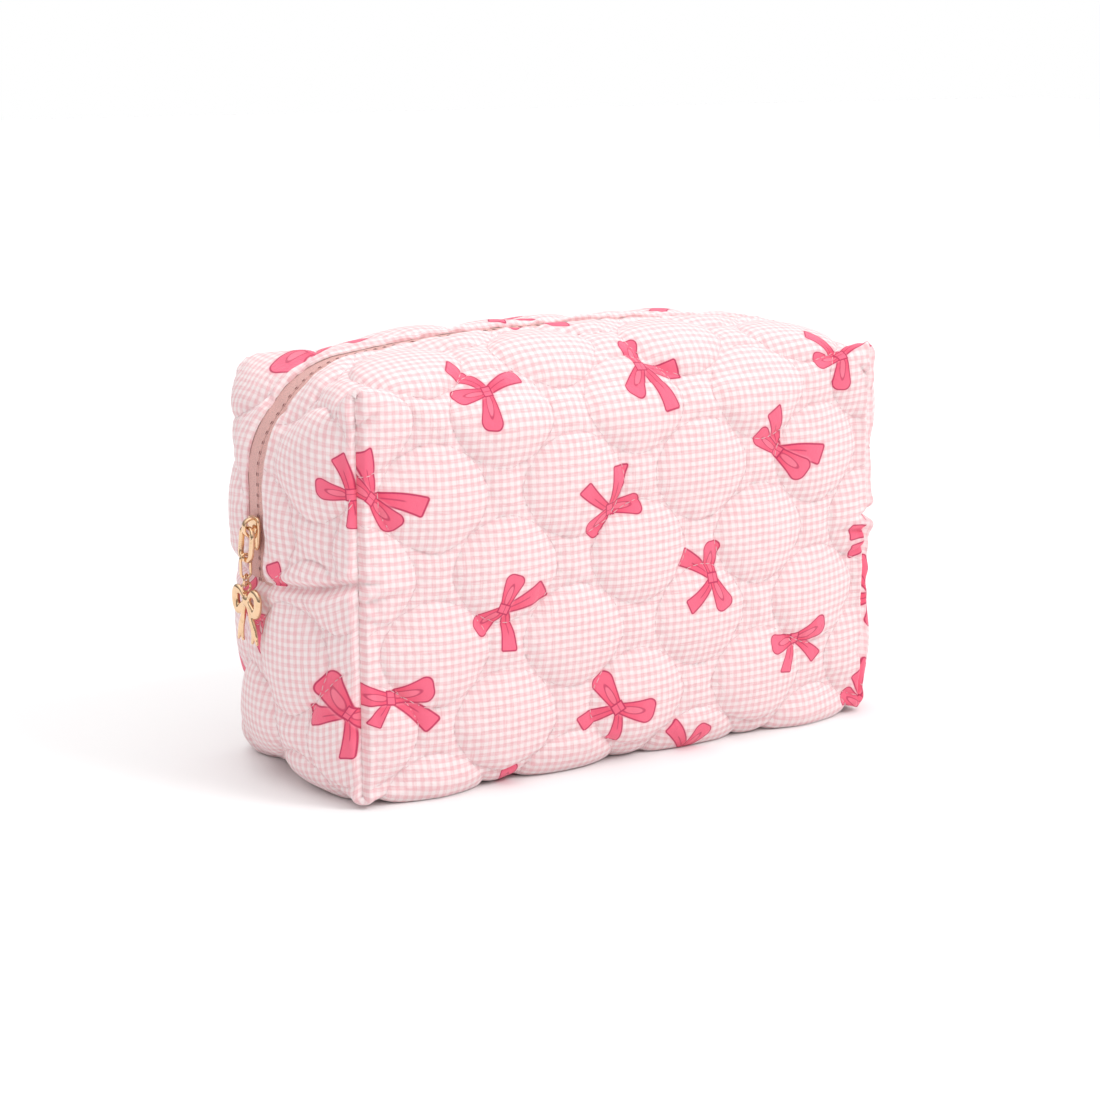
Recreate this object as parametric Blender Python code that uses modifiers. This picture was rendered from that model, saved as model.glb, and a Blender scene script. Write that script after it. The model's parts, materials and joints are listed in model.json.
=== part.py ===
"""Quilted makeup bag: a soft box in three layers, with a zip, a slider and a bow charm.

The bag stands on z = 0 with its long side along X. The zip runs over the top at y = 0 and
half way down both ends. The lower half is one piece, and the two upper halves open like
jaws when the zip is undone. The slider sits low on the -X end, and its pull hangs from it.
Units are metres.
"""
import math

import bmesh
import bpy
from mathutils import Matrix, Vector

# ---- driving dimensions --------------------------------------------------------------
LENGTH = 0.230          # between the vertical corner seams
DEPTH = 0.094           # between the front and back corner seams
SEAM_HEIGHT = 0.148     # of a vertical corner seam
CORNER_LIFT = 0.004     # how far the bottom corners stand off the table
END_BULGE = 0.017       # each end stands out in the middle
FACE_BULGE = 0.006      # front and back stand out in the middle
CROWN = 0.013           # the top stands above its corners
END_TOP_ROLL = 0.036    # fold from the top down over an end
END_BOTTOM_ROLL = 0.028
FACE_TOP_ROLL = 0.026   # fold from the top down over the front
FACE_BOTTOM_ROLL = 0.016
SPLIT_HEIGHT = 0.082    # level of the seams across the ends, where the jaws hinge
GRID_CUTS = 7           # cuts in each edge of the box that the layers are shaped from

GAP = 0.0003            # between pieces that touch
CLOTH = 0.0008
WADDING = 0.0030
LINING = 0.0006
TAPE = 0.0005
COIL = 0.0013
CLOTH_SLOT = 0.0050     # half width of the slot for the zip, in each layer
WADDING_SLOT = 0.0120
LINING_SLOT = 0.0065
TAPE_INNER = 0.0009
TAPE_OUTER = 0.0110
COIL_INNER = 0.0005
COIL_OUTER = 0.0023
COIL_PROUD = 0.0005     # the coil stands this far out of the cloth
BINDING = 0.0024        # folded binding tape over a raw seam
BINDING_REACH = 0.0080

SLIDER_LENGTH = 0.0095
SLIDER_WIDTH = 0.0088
SLIDER_PLATE = 0.0016
SLIDER_BASE = 0.0010
SLIDER_NECK = 0.0006
SLIDER_HEIGHT = 0.0978  # of its middle
BRIDGE_WIDTH = 0.0022
BRIDGE_REACH = 0.0038   # how far the bridge stands out of the top plate

PULL_WIDTH = 0.0112
PULL_HEIGHT = 0.0135
PULL_THICKNESS = 0.0014
PULL_SIDE = 0.0021
PULL_TOP_BAR = 0.0014
PULL_BOTTOM_BAR = 0.0020
PULL_LEAN = math.radians(6)
LINK_LENGTH = 0.0100
LINK_WIDTH = 0.0050
LINK_WIRE = 0.0011
RING_OUTER = 0.0050
RING_WIRE = 0.0009
EYELET_HOLE = 0.0026
EYELET_WIRE = 0.0010
CHARM_THICKNESS = 0.0018
CHARM_TURN = math.radians(15)
RING_TURN = math.radians(45)

# ---- colours --------------------------------------------------------------------------
FINISHES = {
    "cloth": ((0.93, 0.72, 0.74), 0.85, 0.0),
    "wadding": ((0.90, 0.89, 0.86), 0.95, 0.0),
    "lining": ((0.95, 0.84, 0.84), 0.80, 0.0),
    "binding": ((0.92, 0.88, 0.86), 0.85, 0.0),
    "tape": ((0.62, 0.36, 0.37), 0.85, 0.0),
    "coil": ((0.66, 0.38, 0.40), 0.45, 0.0),
    "gold": ((0.83, 0.60, 0.38), 0.25, 1.0),
}

# ---- derived places -------------------------------------------------------------------
END_X = LENGTH / 2 + END_BULGE
FACE_Y = DEPTH / 2 + FACE_BULGE
EAR_Z = CORNER_LIFT + SEAM_HEIGHT
ABOVE_SPLIT = ((0, 0, SPLIT_HEIGHT + GAP / 2), (0, 0, -1))
BELOW_SPLIT = ((0, 0, SPLIT_HEIGHT - GAP / 2), (0, 0, 1))
PLATE_INNER_X = -END_X - COIL_PROUD - GAP
PLATE_OUTER_X = PLATE_INNER_X - SLIDER_PLATE
BASE_OUTER_X = -END_X + 0.0025
PULL_AXIS = Vector((PLATE_OUTER_X - 0.0013, 0, SLIDER_HEIGHT + 0.0006))
BAR_DROP = PULL_HEIGHT - PULL_TOP_BAR / 2 - PULL_BOTTOM_BAR / 2
LINK_AXIS = PULL_AXIS + BAR_DROP * Vector((-math.sin(PULL_LEAN), 0, -math.cos(PULL_LEAN)))
RING_AXIS = LINK_AXIS - Vector((0, 0, LINK_LENGTH - LINK_WIDTH))
LINK_INNER_BOTTOM = RING_AXIS.z - LINK_WIDTH / 2 + LINK_WIRE
RING_CENTRE = Vector((LINK_AXIS.x, 0, LINK_INNER_BOTTOM + GAP + RING_WIRE - RING_OUTER / 2))
CHARM_AXIS = RING_CENTRE - Vector((0, 0, RING_OUTER / 2 - RING_WIRE / 2))
EYELET_CENTRE = CHARM_AXIS + Vector((0, 0, RING_WIRE / 2 + GAP - EYELET_HOLE / 2))
CHARM_CENTRE = EYELET_CENTRE - Vector((0, 0, 0.0050))


# ---- scene helpers --------------------------------------------------------------------
def clear_scene():
    for obj in list(bpy.data.objects):
        bpy.data.objects.remove(obj, do_unlink=True)


def make_collection(name):
    collection = bpy.data.collections.new(name)
    bpy.context.scene.collection.children.link(collection)
    return collection


def make_materials():
    materials = {}
    for name, (colour, roughness, metallic) in FINISHES.items():
        material = bpy.data.materials.new(name)
        material.use_nodes = True
        shader = material.node_tree.nodes["Principled BSDF"]
        shader.inputs["Base Color"].default_value = (*colour, 1)
        shader.inputs["Roughness"].default_value = roughness
        shader.inputs["Metallic"].default_value = metallic
        material.diffuse_color = (*colour, 1)
        materials[name] = material
    return materials


def add_object(name, data, material, collection):
    obj = bpy.data.objects.new(name, data)
    data.materials.clear()
    data.materials.append(material)
    collection.objects.link(obj)
    return obj


def add_pivot(name, place, collection, parent=None):
    """An empty on a joint's axis."""
    pivot = bpy.data.objects.new(name, None)
    pivot.empty_display_size = 0.01
    collection.objects.link(pivot)
    pivot.location = place
    if parent is not None:
        pivot.parent = parent
        pivot.location = Vector(place) - world_place(parent)
    return pivot


def world_place(obj):
    place = Vector(obj.location)
    while obj.parent is not None:
        obj = obj.parent
        place += Vector(obj.location)
    return place


def hang(obj, pivot):
    """Parents a piece to a pivot and leaves it where it is."""
    obj.parent = pivot
    obj.matrix_parent_inverse = Matrix.Translation(world_place(pivot)).inverted()


def as_mesh(obj):
    """The evaluated mesh of an object, welded, in place of the object."""
    bpy.context.view_layer.update()
    evaluated = obj.evaluated_get(bpy.context.evaluated_depsgraph_get())
    mesh = bpy.data.meshes.new_from_object(evaluated)
    mesh.transform(obj.matrix_world)
    work = bmesh.new()
    work.from_mesh(mesh)
    bmesh.ops.remove_doubles(work, verts=work.verts, dist=1e-6)
    bmesh.ops.recalc_face_normals(work, faces=work.faces)
    work.to_mesh(mesh)
    work.free()
    bpy.data.objects.remove(obj, do_unlink=True)
    return mesh


# ---- the soft box ---------------------------------------------------------------------
def fade(position, power):
    """1 in the middle of a side and 0 at its edges."""
    return 1 - abs(position) ** power


def roll_over(inset, drop, radius):
    """Moves a point on a square edge onto a round fold of the given radius."""
    if drop <= 0 and inset < radius:
        angle = (1 - inset / radius) * math.pi / 4
    elif inset <= 0 and drop < radius:
        angle = math.pi / 2 - (1 - drop / radius) * math.pi / 4
    else:
        return inset, drop
    return radius * (1 - math.sin(angle)), radius * (1 - math.cos(angle))


def soft_box(u, v, w):
    """A point of the bag's outer surface from a point of the cube with corners at +-1."""
    end_fade = max(0.0, fade(v, 2.4))
    face_fade = max(0.0, fade(u, 2.2))
    end_x = LENGTH / 2 + END_BULGE * end_fade
    face_y = DEPTH / 2 + FACE_BULGE * face_fade
    stretch = max(0.0, 2 * abs(u) - 1) ** 1.5
    x = LENGTH / 2 * abs(u) + END_BULGE * end_fade * stretch
    y = DEPTH / 2 * abs(v) + FACE_BULGE * face_fade * abs(v)
    corner = max(0.0, (abs(u) - 0.72) / 0.28) * max(0.0, (abs(v) - 0.72) / 0.28)
    bottom = CORNER_LIFT * corner
    top = EAR_Z + CROWN * fade(u, 3) * fade(v, 2)
    z = bottom + (top - bottom) * (w + 1) / 2

    in_x, in_y, down, up = end_x - x, face_y - y, top - z, z - bottom
    if down < up:
        in_x, fall_x = roll_over(in_x, down, END_TOP_ROLL * end_fade + 1e-6)
        in_y, fall_y = roll_over(in_y, down, FACE_TOP_ROLL * face_fade + 1e-6)
        z = top - (fall_x + fall_y - down)
    else:
        in_x, rise_x = roll_over(in_x, up, END_BOTTOM_ROLL * end_fade + 1e-6)
        in_y, rise_y = roll_over(in_y, up, FACE_BOTTOM_ROLL * face_fade + 1e-6)
        z = bottom + (rise_x + rise_y - up)
    return Vector((math.copysign(end_x - in_x, u), math.copysign(face_y - in_y, v), z))


def spread(t, low, high):
    """Puts three even steps in the fold at each end of a side, and two between them."""
    step = 2 / (GRID_CUTS + 1)
    if t >= step - 1e-6:
        return 1 - high * (1 - t) / (1 - step)
    if t <= -step + 1e-6:
        return -1 + low * (1 + t) / (1 - step)
    return 0.0


def box_surface():
    """The outer surface as triangles, which every layer repeats at its own depth."""
    work = bmesh.new()
    bmesh.ops.create_cube(work, size=2)
    bmesh.ops.subdivide_edges(work, edges=work.edges, cuts=GRID_CUTS, use_grid_fill=True)
    end_fold = 2 * END_TOP_ROLL / LENGTH * 0.8
    face_fold = 2 * FACE_TOP_ROLL / DEPTH
    top_fold = 2 * END_TOP_ROLL / SEAM_HEIGHT
    bottom_fold = 2 * END_BOTTOM_ROLL / SEAM_HEIGHT
    for vert in work.verts:
        u = spread(vert.co.x, end_fold, end_fold)
        v = spread(vert.co.y, face_fold, face_fold)
        w = spread(vert.co.z, bottom_fold, top_fold)
        vert.co = soft_box(u, v, w)
    bmesh.ops.triangulate(work, faces=work.faces)
    work.normal_update()
    return work


def soft_layer(name, depth, thickness, keep, material, collection, parent):
    """One layer between two depths, kept on the inner side of each plane in keep."""
    work = box_surface()
    moved = [vert.co - vert.normal * depth * vert.calc_shell_factor() for vert in work.verts]
    for vert, place in zip(work.verts, moved):
        vert.co = place
    for place, normal in keep:
        everything = work.verts[:] + work.edges[:] + work.faces[:]
        bmesh.ops.bisect_plane(work, geom=everything, plane_co=place, plane_no=normal,
                               clear_outer=True, dist=1e-5)
    mesh = bpy.data.meshes.new(name)
    work.to_mesh(mesh)
    work.free()
    obj = add_object(name, mesh, material, collection)
    wall = obj.modifiers.new("wall", "SOLIDIFY")
    wall.thickness = thickness
    wall.offset = -1
    wall.use_even_offset = True
    hang(obj, parent)
    return obj


def beyond(side, distance):
    """Keeps what is further than distance from the middle, on one side of y = 0."""
    return ((0, side * distance, 0), (0, -side, 0))


def within(side, distance):
    return ((0, side * distance, 0), (0, side, 0))


def make_half(side, name, pivot, materials, collection):
    """A jaw: three layers and its half of the zip, on one side of y = 0."""
    layers = [
        ("cloth", 0.0, CLOTH, CLOTH_SLOT, None),
        ("wadding", CLOTH + GAP, WADDING, WADDING_SLOT, None),
        ("lining", CLOTH + WADDING + 2 * GAP, LINING, LINING_SLOT, None),
        ("zip_tape", CLOTH + GAP, TAPE, TAPE_INNER, TAPE_OUTER),
        ("zip_coil", -COIL_PROUD, COIL, COIL_INNER, COIL_OUTER),
        ("zip_binding", CLOTH + WADDING + LINING + 3 * GAP, BINDING / 2, 0.0080, 0.0140),
    ]
    finish = {"zip_tape": "tape", "zip_coil": "coil", "zip_binding": "binding"}
    for layer, depth, thickness, inner, outer in layers:
        keep = [ABOVE_SPLIT, beyond(side, inner)]
        if outer is not None:
            keep.append(within(side, outer))
        soft_layer(f"{name}_{layer}", depth, thickness, keep,
                   materials[finish.get(layer, layer)], collection, pivot)


def make_lower(pivot, materials, collection):
    depth = 0.0
    for layer, thickness in (("cloth", CLOTH), ("wadding", WADDING), ("lining", LINING)):
        soft_layer(f"lower_{layer}", depth, thickness, [BELOW_SPLIT],
                   materials[layer], collection, pivot)
        depth += thickness + GAP
    for side, name in ((-1, "left"), (1, "right")):
        keep = [((0, 0, SPLIT_HEIGHT - 0.0006), (0, 0, 1)),
                ((0, 0, SPLIT_HEIGHT - 0.0006 - BINDING), (0, 0, -1)),
                ((side * 0.080, 0, 0), (-side, 0, 0)),
                ((0, 0.030, 0), (0, 1, 0)),
                ((0, -0.030, 0), (0, -1, 0))]
        soft_layer(f"{name}_end_seam_binding", depth, BINDING_REACH, keep,
                   materials["binding"], collection, pivot)


def make_corner_bindings(pivots, materials, collection):
    """Folded tape over the seam allowances inside the four vertical corners."""
    spans = {"lower": (0.014, SPLIT_HEIGHT - 0.002), "upper": (SPLIT_HEIGHT + 0.002, 0.130)}
    wall = CLOTH + WADDING + LINING + 3 * GAP
    reach = wall * 1.45 + BINDING_REACH / 2
    for level, (low, high) in spans.items():
        for x_side, x_name in ((-1, "left"), (1, "right")):
            for y_side, y_name in ((-1, "front"), (1, "back")):
                bpy.ops.mesh.primitive_cube_add(size=1)
                obj = bpy.context.object
                obj.name = f"{level}_{y_name}_{x_name}_corner_binding"
                size = Matrix.Diagonal((BINDING_REACH, BINDING, high - low, 1))
                angle = math.atan2(y_side, x_side * 0.5)
                inward = Vector((-math.cos(angle), -math.sin(angle), 0))
                obj.data.transform(size)
                obj.location = Vector((x_side * LENGTH / 2, y_side * DEPTH / 2, 0))
                obj.location += inward * reach + Vector((0, 0, (low + high) / 2))
                obj.rotation_euler.z = angle
                round_edges(obj, BINDING * 0.3, 1)
                obj.data.materials.append(materials["binding"])
                move_to(obj, collection)
                hang(obj, pivots["lower" if level == "lower" else y_name])


def move_to(obj, collection):
    for owner in list(obj.users_collection):
        owner.objects.unlink(obj)
    collection.objects.link(obj)


def round_edges(obj, width, segments):
    bevel = obj.modifiers.new("rounded", "BEVEL")
    bevel.width = width
    bevel.segments = segments
    bevel.limit_method = "ANGLE"


# ---- metalwork ------------------------------------------------------------------------
def wire_loop(name, centre, width, length, wire, turn, steps=8):
    """A closed wire, round or oval, standing upright and turned about Z from the XZ plane."""
    curve = bpy.data.curves.new(name, "CURVE")
    curve.dimensions = "3D"
    curve.bevel_depth = wire / 2
    curve.bevel_resolution = 2
    spline = curve.splines.new("POLY")
    radius = (width - wire) / 2
    straight = (length - width) / 2
    points = []
    for half, rise in ((0, straight), (1, -straight)):
        for step in range(steps + 1):
            angle = math.pi * (half + step / steps)
            points.append((radius * math.cos(angle), rise + radius * math.sin(angle)))
    if straight < 1e-9:
        points = points[:steps] + points[steps + 1:-1]
    spline.points.add(len(points) - 1)
    for point, (across, up) in zip(spline.points, points):
        point.co = (across, 0, up, 1)
    spline.use_cyclic_u = True
    obj = bpy.data.objects.new(name, curve)
    bpy.context.scene.collection.objects.link(obj)
    obj.location = centre
    obj.rotation_euler.z = turn
    return as_mesh(obj)


def rounded_rectangle(width, low, high, radius, steps=3):
    """Corner points of a rounded rectangle about s = 0, anticlockwise."""
    points = []
    half = width / 2
    for s, t, start in ((half, high, 0), (-half, high, 1), (-half, low, 2), (half, low, 3)):
        centre = (s - math.copysign(radius, s), t - radius if t == high else t + radius)
        for step in range(steps + 1):
            angle = (start + step / steps) * math.pi / 2
            points.append((centre[0] + radius * math.cos(angle),
                           centre[1] + radius * math.sin(angle)))
    return points


def flat_plate(outlines, thickness, matrix, bevel=0.0):
    """A plate from closed outlines in (s, t), the first one outside and the rest holes."""
    curve = bpy.data.curves.new("plate", "CURVE")
    curve.dimensions = "2D"
    curve.fill_mode = "BOTH"
    curve.extrude = thickness / 2 - bevel
    curve.bevel_depth = bevel
    curve.bevel_resolution = 0
    curve.offset = -bevel
    for outline in outlines:
        spline = curve.splines.new("POLY")
        spline.points.add(len(outline) - 1)
        for point, (s, t) in zip(spline.points, outline):
            point.co = (s, t, 0, 1)
        spline.use_cyclic_u = True
    obj = bpy.data.objects.new("plate", curve)
    bpy.context.scene.collection.objects.link(obj)
    obj.matrix_world = matrix
    return as_mesh(obj)


def upright(place, facing):
    """A plate's s across, t up and thickness along a level direction."""
    normal = Vector((math.cos(facing), math.sin(facing), 0))
    across = Vector((-math.sin(facing), math.cos(facing), 0))
    turn = Matrix((across, Vector((0, 0, 1)), normal)).transposed().to_4x4()
    return Matrix.Translation(place) @ turn


def joined(name, meshes, material, collection, cutters):
    """One body from overlapping meshes, by Boolean union."""
    base = add_object(name, meshes[0], material, collection)
    for index, mesh in enumerate(meshes[1:]):
        other = add_object(f"{name}_add_{index}", mesh, material, cutters)
        other.hide_render = True
        other.display_type = "WIRE"
        union = base.modifiers.new(f"join_{index}", "BOOLEAN")
        union.operation = "UNION"
        union.solver = "EXACT"
        union.object = other
    return base


def make_slider(pivot, materials, collection, cutters):
    half = SLIDER_LENGTH / 2
    wide = SLIDER_WIDTH / 2
    shield = [(wide * 0.55, -half), (wide * 0.80, -half * 0.6), (wide, half * 0.15),
              (wide, half * 0.75), (wide * 0.75, half)]
    shield += [(-s, t) for s, t in reversed(shield)]
    facing = math.pi
    top_x = PLATE_INNER_X - SLIDER_PLATE / 2
    base_x = BASE_OUTER_X + SLIDER_BASE / 2
    top = flat_plate([shield], SLIDER_PLATE, upright((top_x, 0, SLIDER_HEIGHT), facing))
    base = flat_plate([shield], SLIDER_BASE, upright((base_x, 0, SLIDER_HEIGHT), facing))
    neck_middle = (top_x + base_x) / 2
    neck_outline = [(-SLIDER_NECK / 2, half * 0.1), (SLIDER_NECK / 2, half * 0.1),
                    (SLIDER_NECK / 2, half * 0.8), (-SLIDER_NECK / 2, half * 0.8)]
    neck = flat_plate([neck_outline], base_x - top_x,
                      upright((neck_middle, 0, SLIDER_HEIGHT), facing))
    reach = BRIDGE_REACH
    sunk = -SLIDER_PLATE / 2
    bridge_outline = [(sunk, 0.0040), (reach * 0.85, 0.0032), (reach, 0.0020),
                      (reach, -0.0012), (reach * 0.7, -0.0022), (sunk, -0.0036),
                      (sunk, -0.0022), (reach - 0.0011, -0.0008), (reach - 0.0011, 0.0018),
                      (sunk, 0.0026)]
    side_on = Matrix(((-1, 0, 0), (0, 0, 1), (0, 1, 0))).to_4x4()
    bridge = flat_plate([bridge_outline], BRIDGE_WIDTH,
                        Matrix.Translation((PLATE_OUTER_X, 0, SLIDER_HEIGHT)) @ side_on)
    slider = joined("slider_body", [top, neck, base, bridge], materials["gold"], collection,
                    cutters)
    hang(slider, pivot)


def make_pull(pivot, materials, collection):
    top = PULL_TOP_BAR / 2
    low = top - PULL_HEIGHT
    outer = rounded_rectangle(PULL_WIDTH, low, top, 0.0026)
    window = rounded_rectangle(PULL_WIDTH - 2 * PULL_SIDE, low + PULL_BOTTOM_BAR,
                               top - PULL_TOP_BAR, 0.0014)
    lean = Matrix.Translation(PULL_AXIS) @ Matrix.Rotation(PULL_LEAN, 4, "Y")
    mesh = flat_plate([outer, window], PULL_THICKNESS, lean @ upright((0, 0, 0), math.pi))
    hang(add_object("pull_frame", mesh, materials["gold"], collection), pivot)


def make_chain(link_pivot, ring_pivot, materials, collection):
    link_centre = (LINK_AXIS + RING_AXIS) / 2
    link = wire_loop("link", link_centre, LINK_WIDTH, LINK_LENGTH, LINK_WIRE, 0)
    hang(add_object("oval_link", link, materials["gold"], collection), link_pivot)
    ring = wire_loop("ring", RING_CENTRE, RING_OUTER, RING_OUTER, RING_WIRE, RING_TURN)
    hang(add_object("jump_ring", ring, materials["gold"], collection), ring_pivot)


def make_charm(pivot, materials, collection, cutters):
    """A flat bow with open loops, and an eyelet on top of its knot."""
    side = [(0.0, 3.3), (1.8, 3.0), (4.2, 4.9), (7.2, 5.2), (9.4, 2.8), (9.9, -1.2),
            (8.6, -5.4), (6.2, -6.9), (3.6, -4.2), (2.0, -2.2), (3.2, -6.4), (5.4, -11.6),
            (6.5, -16.6), (4.4, -15.0), (2.8, -17.2), (1.4, -10.0)]
    hole = [(3.3, 0.5), (5.6, 2.6), (7.3, 1.4), (7.6, -1.4), (6.2, -3.2)]
    right = [(s / 1000, t / 1000) for s, t in side]
    left = [(-s, t) for s, t in reversed(right[1:])]
    notch = [(0.0, -0.0035)]
    right_hole = [(s / 1000, t / 1000) for s, t in hole]
    left_hole = [(-s, t) for s, t in reversed(right_hole)]
    plate = flat_plate([right + notch + left, right_hole, left_hole], CHARM_THICKNESS,
                       upright(CHARM_CENTRE, math.pi + CHARM_TURN))
    width = EYELET_HOLE + 2 * EYELET_WIRE
    eyelet = wire_loop("eyelet", EYELET_CENTRE, width, width, EYELET_WIRE,
                       math.pi / 2 + CHARM_TURN)
    hang(joined("bow_charm", [plate, eyelet], materials["gold"], collection, cutters), pivot)


def main():
    clear_scene()
    bag = make_collection("makeup_bag")
    cutters = make_collection("cutters")
    materials = make_materials()
    pivots = {
        "lower": add_pivot("lower_pivot", (0, 0, 0), bag),
        "front": add_pivot("front_pivot", (0, -FACE_Y, SPLIT_HEIGHT), bag),
        "back": add_pivot("back_pivot", (0, FACE_Y, SPLIT_HEIGHT), bag),
        "slider": add_pivot("slider_pivot", (PLATE_INNER_X, 0, SLIDER_HEIGHT), bag),
    }
    pull_pivot = add_pivot("pull_pivot", PULL_AXIS, bag, pivots["slider"])
    link_pivot = add_pivot("link_pivot", LINK_AXIS, bag, pull_pivot)
    ring_pivot = add_pivot("ring_pivot", RING_AXIS, bag, link_pivot)
    charm_pivot = add_pivot("charm_pivot", CHARM_AXIS, bag, ring_pivot)
    make_lower(pivots["lower"], materials, bag)
    make_half(-1, "front", pivots["front"], materials, bag)
    make_half(1, "back", pivots["back"], materials, bag)
    make_corner_bindings(pivots, materials, bag)
    make_slider(pivots["slider"], materials, bag, cutters)
    make_pull(pull_pivot, materials, bag)
    make_chain(link_pivot, ring_pivot, materials, bag)
    make_charm(charm_pivot, materials, bag, cutters)


if __name__ == "__main__":
    main()
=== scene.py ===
"""Quilted makeup bag: printed and stitched cloth, a zip, and gold metalwork with a bow charm."""
import json
import math

import bmesh
import bpy
import numpy as np
from bpy.props import FloatProperty, FloatVectorProperty, IntProperty, PointerProperty
from mathutils import Matrix, Vector


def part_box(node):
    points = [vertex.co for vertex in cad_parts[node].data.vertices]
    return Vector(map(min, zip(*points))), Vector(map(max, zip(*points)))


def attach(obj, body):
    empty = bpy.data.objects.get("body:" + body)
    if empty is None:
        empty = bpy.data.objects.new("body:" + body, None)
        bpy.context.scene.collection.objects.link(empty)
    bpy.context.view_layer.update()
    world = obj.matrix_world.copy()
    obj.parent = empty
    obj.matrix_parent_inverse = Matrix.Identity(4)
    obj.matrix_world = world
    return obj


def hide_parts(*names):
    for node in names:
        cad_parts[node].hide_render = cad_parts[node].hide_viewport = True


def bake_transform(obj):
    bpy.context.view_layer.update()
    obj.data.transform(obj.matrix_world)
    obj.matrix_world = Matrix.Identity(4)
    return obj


bl_info = {
    "name": "Quilted Makeup Bag",
    "version": (1, 0, 0),
    "blender": (4, 5, 0),
    "location": "View3D > Sidebar > Makeup Bag",
    "description": "Builds a quilted zip makeup bag with a bow charm around its packed frame",
    "category": "Add Mesh",
}

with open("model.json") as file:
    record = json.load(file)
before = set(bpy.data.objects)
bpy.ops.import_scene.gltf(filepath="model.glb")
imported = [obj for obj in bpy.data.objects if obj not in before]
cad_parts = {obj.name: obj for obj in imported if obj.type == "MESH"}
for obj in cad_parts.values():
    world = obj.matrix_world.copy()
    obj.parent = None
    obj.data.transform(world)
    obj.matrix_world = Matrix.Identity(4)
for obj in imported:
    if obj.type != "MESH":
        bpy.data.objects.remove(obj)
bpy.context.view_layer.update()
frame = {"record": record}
JOINTS = {joint["name"]: joint for joint in frame["record"]["behaviour"]["joints"]}

# ---- the bag's shape, from the frame's solids -----------------------------------------
LENGTH = 0.230              # between the corner seams
DEPTH = 0.094
CORNER_LIFT = 0.004
END_TOP_ROLL = 0.036
END_BOTTOM_ROLL = 0.028
FACE_TOP_ROLL = 0.026
FACE_BOTTOM_ROLL = 0.016
EAR_Z = 0.152               # top of a corner seam
END_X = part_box("lower_cloth")[1][0]
FACE_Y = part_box("lower_cloth")[1][1]
TOP_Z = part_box("front_cloth")[1][2]
HINGE_Z = JOINTS["front_jaw_open"]["pos_m"][2]
END_BULGE = END_X - LENGTH / 2
FACE_BULGE = FACE_Y - DEPTH / 2
CROWN = TOP_Z - EAR_Z
SEAM_HEIGHT = EAR_Z - CORNER_LIFT
SPLIT_W = 2 * HINGE_Z / (EAR_Z - 0.001) - 1     # level of the seams across the ends
SPLIT_SAG = 0.055           # how much lower they run in their middles
SLOT_ON_TOP = {-1: 0.0046, 1: 0.0052}    # from the zip's middle to the cloth, front and back
SLOT_ON_ENDS = {-1: 0.0054, 1: 0.0092}
LINING_SLOT = 0.0065
BLEND_START = (0, 0, HINGE_Z + 0.016)    # where the cloth starts and stops to bend
BLEND_END = (0, 0, HINGE_Z + 0.072)
END_FADE, FACE_FADE = 2.4, 2.2           # how squarely the bulges die out at the corners
FAR = 1.0                                # a distance for "none near here"

# ---- the layers, from the outside in ---------------------------------------------------
SHELL_EDGE, SHELL_THICKNESS = 0.0009, 0.0032     # beside the zip, and added elsewhere
LINING_EDGE, LINING_STEP = 0.0018, 0.0027
LINING_THICKNESS = 0.0006
TAPE_REACH = 0.0112         # from the zip's middle to where the padding thickens
TAPE_FADE = 0.0030
BINDING_ROOT = 0.0049       # depth at which the inside bindings stand
BINDING_THICKNESS = 0.0022
CORNER_BINDING_REACH, END_BINDING_REACH = 0.0072, 0.0070
BINDING_STEPS = 40

# ---- the zip ---------------------------------------------------------------------------
TAPE_OFFSETS = np.array([0.00018, 0.0004, 0.0008, 0.0013, 0.0018, 0.0023, 0.0029, 0.0036,
                         0.0044, 0.0054, 0.0066, 0.0080, 0.0095, 0.0110])    # from its middle
TAPE_DEPTH, TAPE_THICKNESS = 0.00105, 0.0005
TAPE_BELOW_SEAM = 0.05      # how far the tape runs on past the seam, in cube units
# The marks are dark bars of painted shade, standing for the shaded gaps between the coil's teeth.
MARKS = (0.00070, 0.00078)  # distance from the zip's middle, and depth
COIL = (0.0014, 0.0019)

# ---- metalwork -------------------------------------------------------------------------
SLIDER_HALF_HEIGHT, SLIDER_HALF_WIDTH = 0.00475, 0.0044
SLIDER_SHIELD = ((0, -1), (0.62, -0.92), (0.92, -0.2), (1, 0.45), (0.86, 0.92), (0, 1),
                 (-0.86, 0.92), (-1, 0.45), (-0.92, -0.2), (-0.62, -0.92))
SLIDER_WEB = ((-0.0003, 0.0004), (0.0003, 0.0004), (0.0003, 0.0040), (-0.0003, 0.0040))
CROWN_ARCH = ((0.0010, 0.0040), (0.0030, 0.0037), (0.0047, 0.0026), (0.0052, 0.0006),
              (0.0047, -0.0014), (0.0030, -0.0030), (0.0010, -0.0035))
PULL_WIDTH, PULL_HEIGHT = 0.0112, 0.0135
PULL_SIDE, PULL_TOP = 0.0021, 0.0014     # breadth of its bars
PULL_CORNER = 0.0030
LINK_WIDTH, LINK_WIRE = 0.0050, 0.00055  # a wire's radius
LINK_STRAIGHT = 0.0025                   # half the length of its straight sides
RING_WIDTH, RING_WIRE = 0.0050, 0.00045
EYELET_RADIUS, EYELET_WIRE, EYELET_HEIGHT = 0.0018, 0.0005, 0.0050
CHARM_LOOP = ((1.5, 0.5), (2.8, 2.1), (4.8, 3.2), (6.9, 2.8), (7.9, 0.8), (7.6, -2.1),
              (6.4, -4.1), (4.9, -4.0), (3.2, -2.2), (1.8, -0.8))            # in mm
CHARM_TAIL = ((0.8, -1.5), (3.1, -7.0), (4.9, -13.4))    # its start, bend and tip, in mm
CHARM_TIP = ((0.6, 0.9), (1.25, -0.9), (1.75, -2.5))     # each prong, from the tip, in mm

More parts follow.
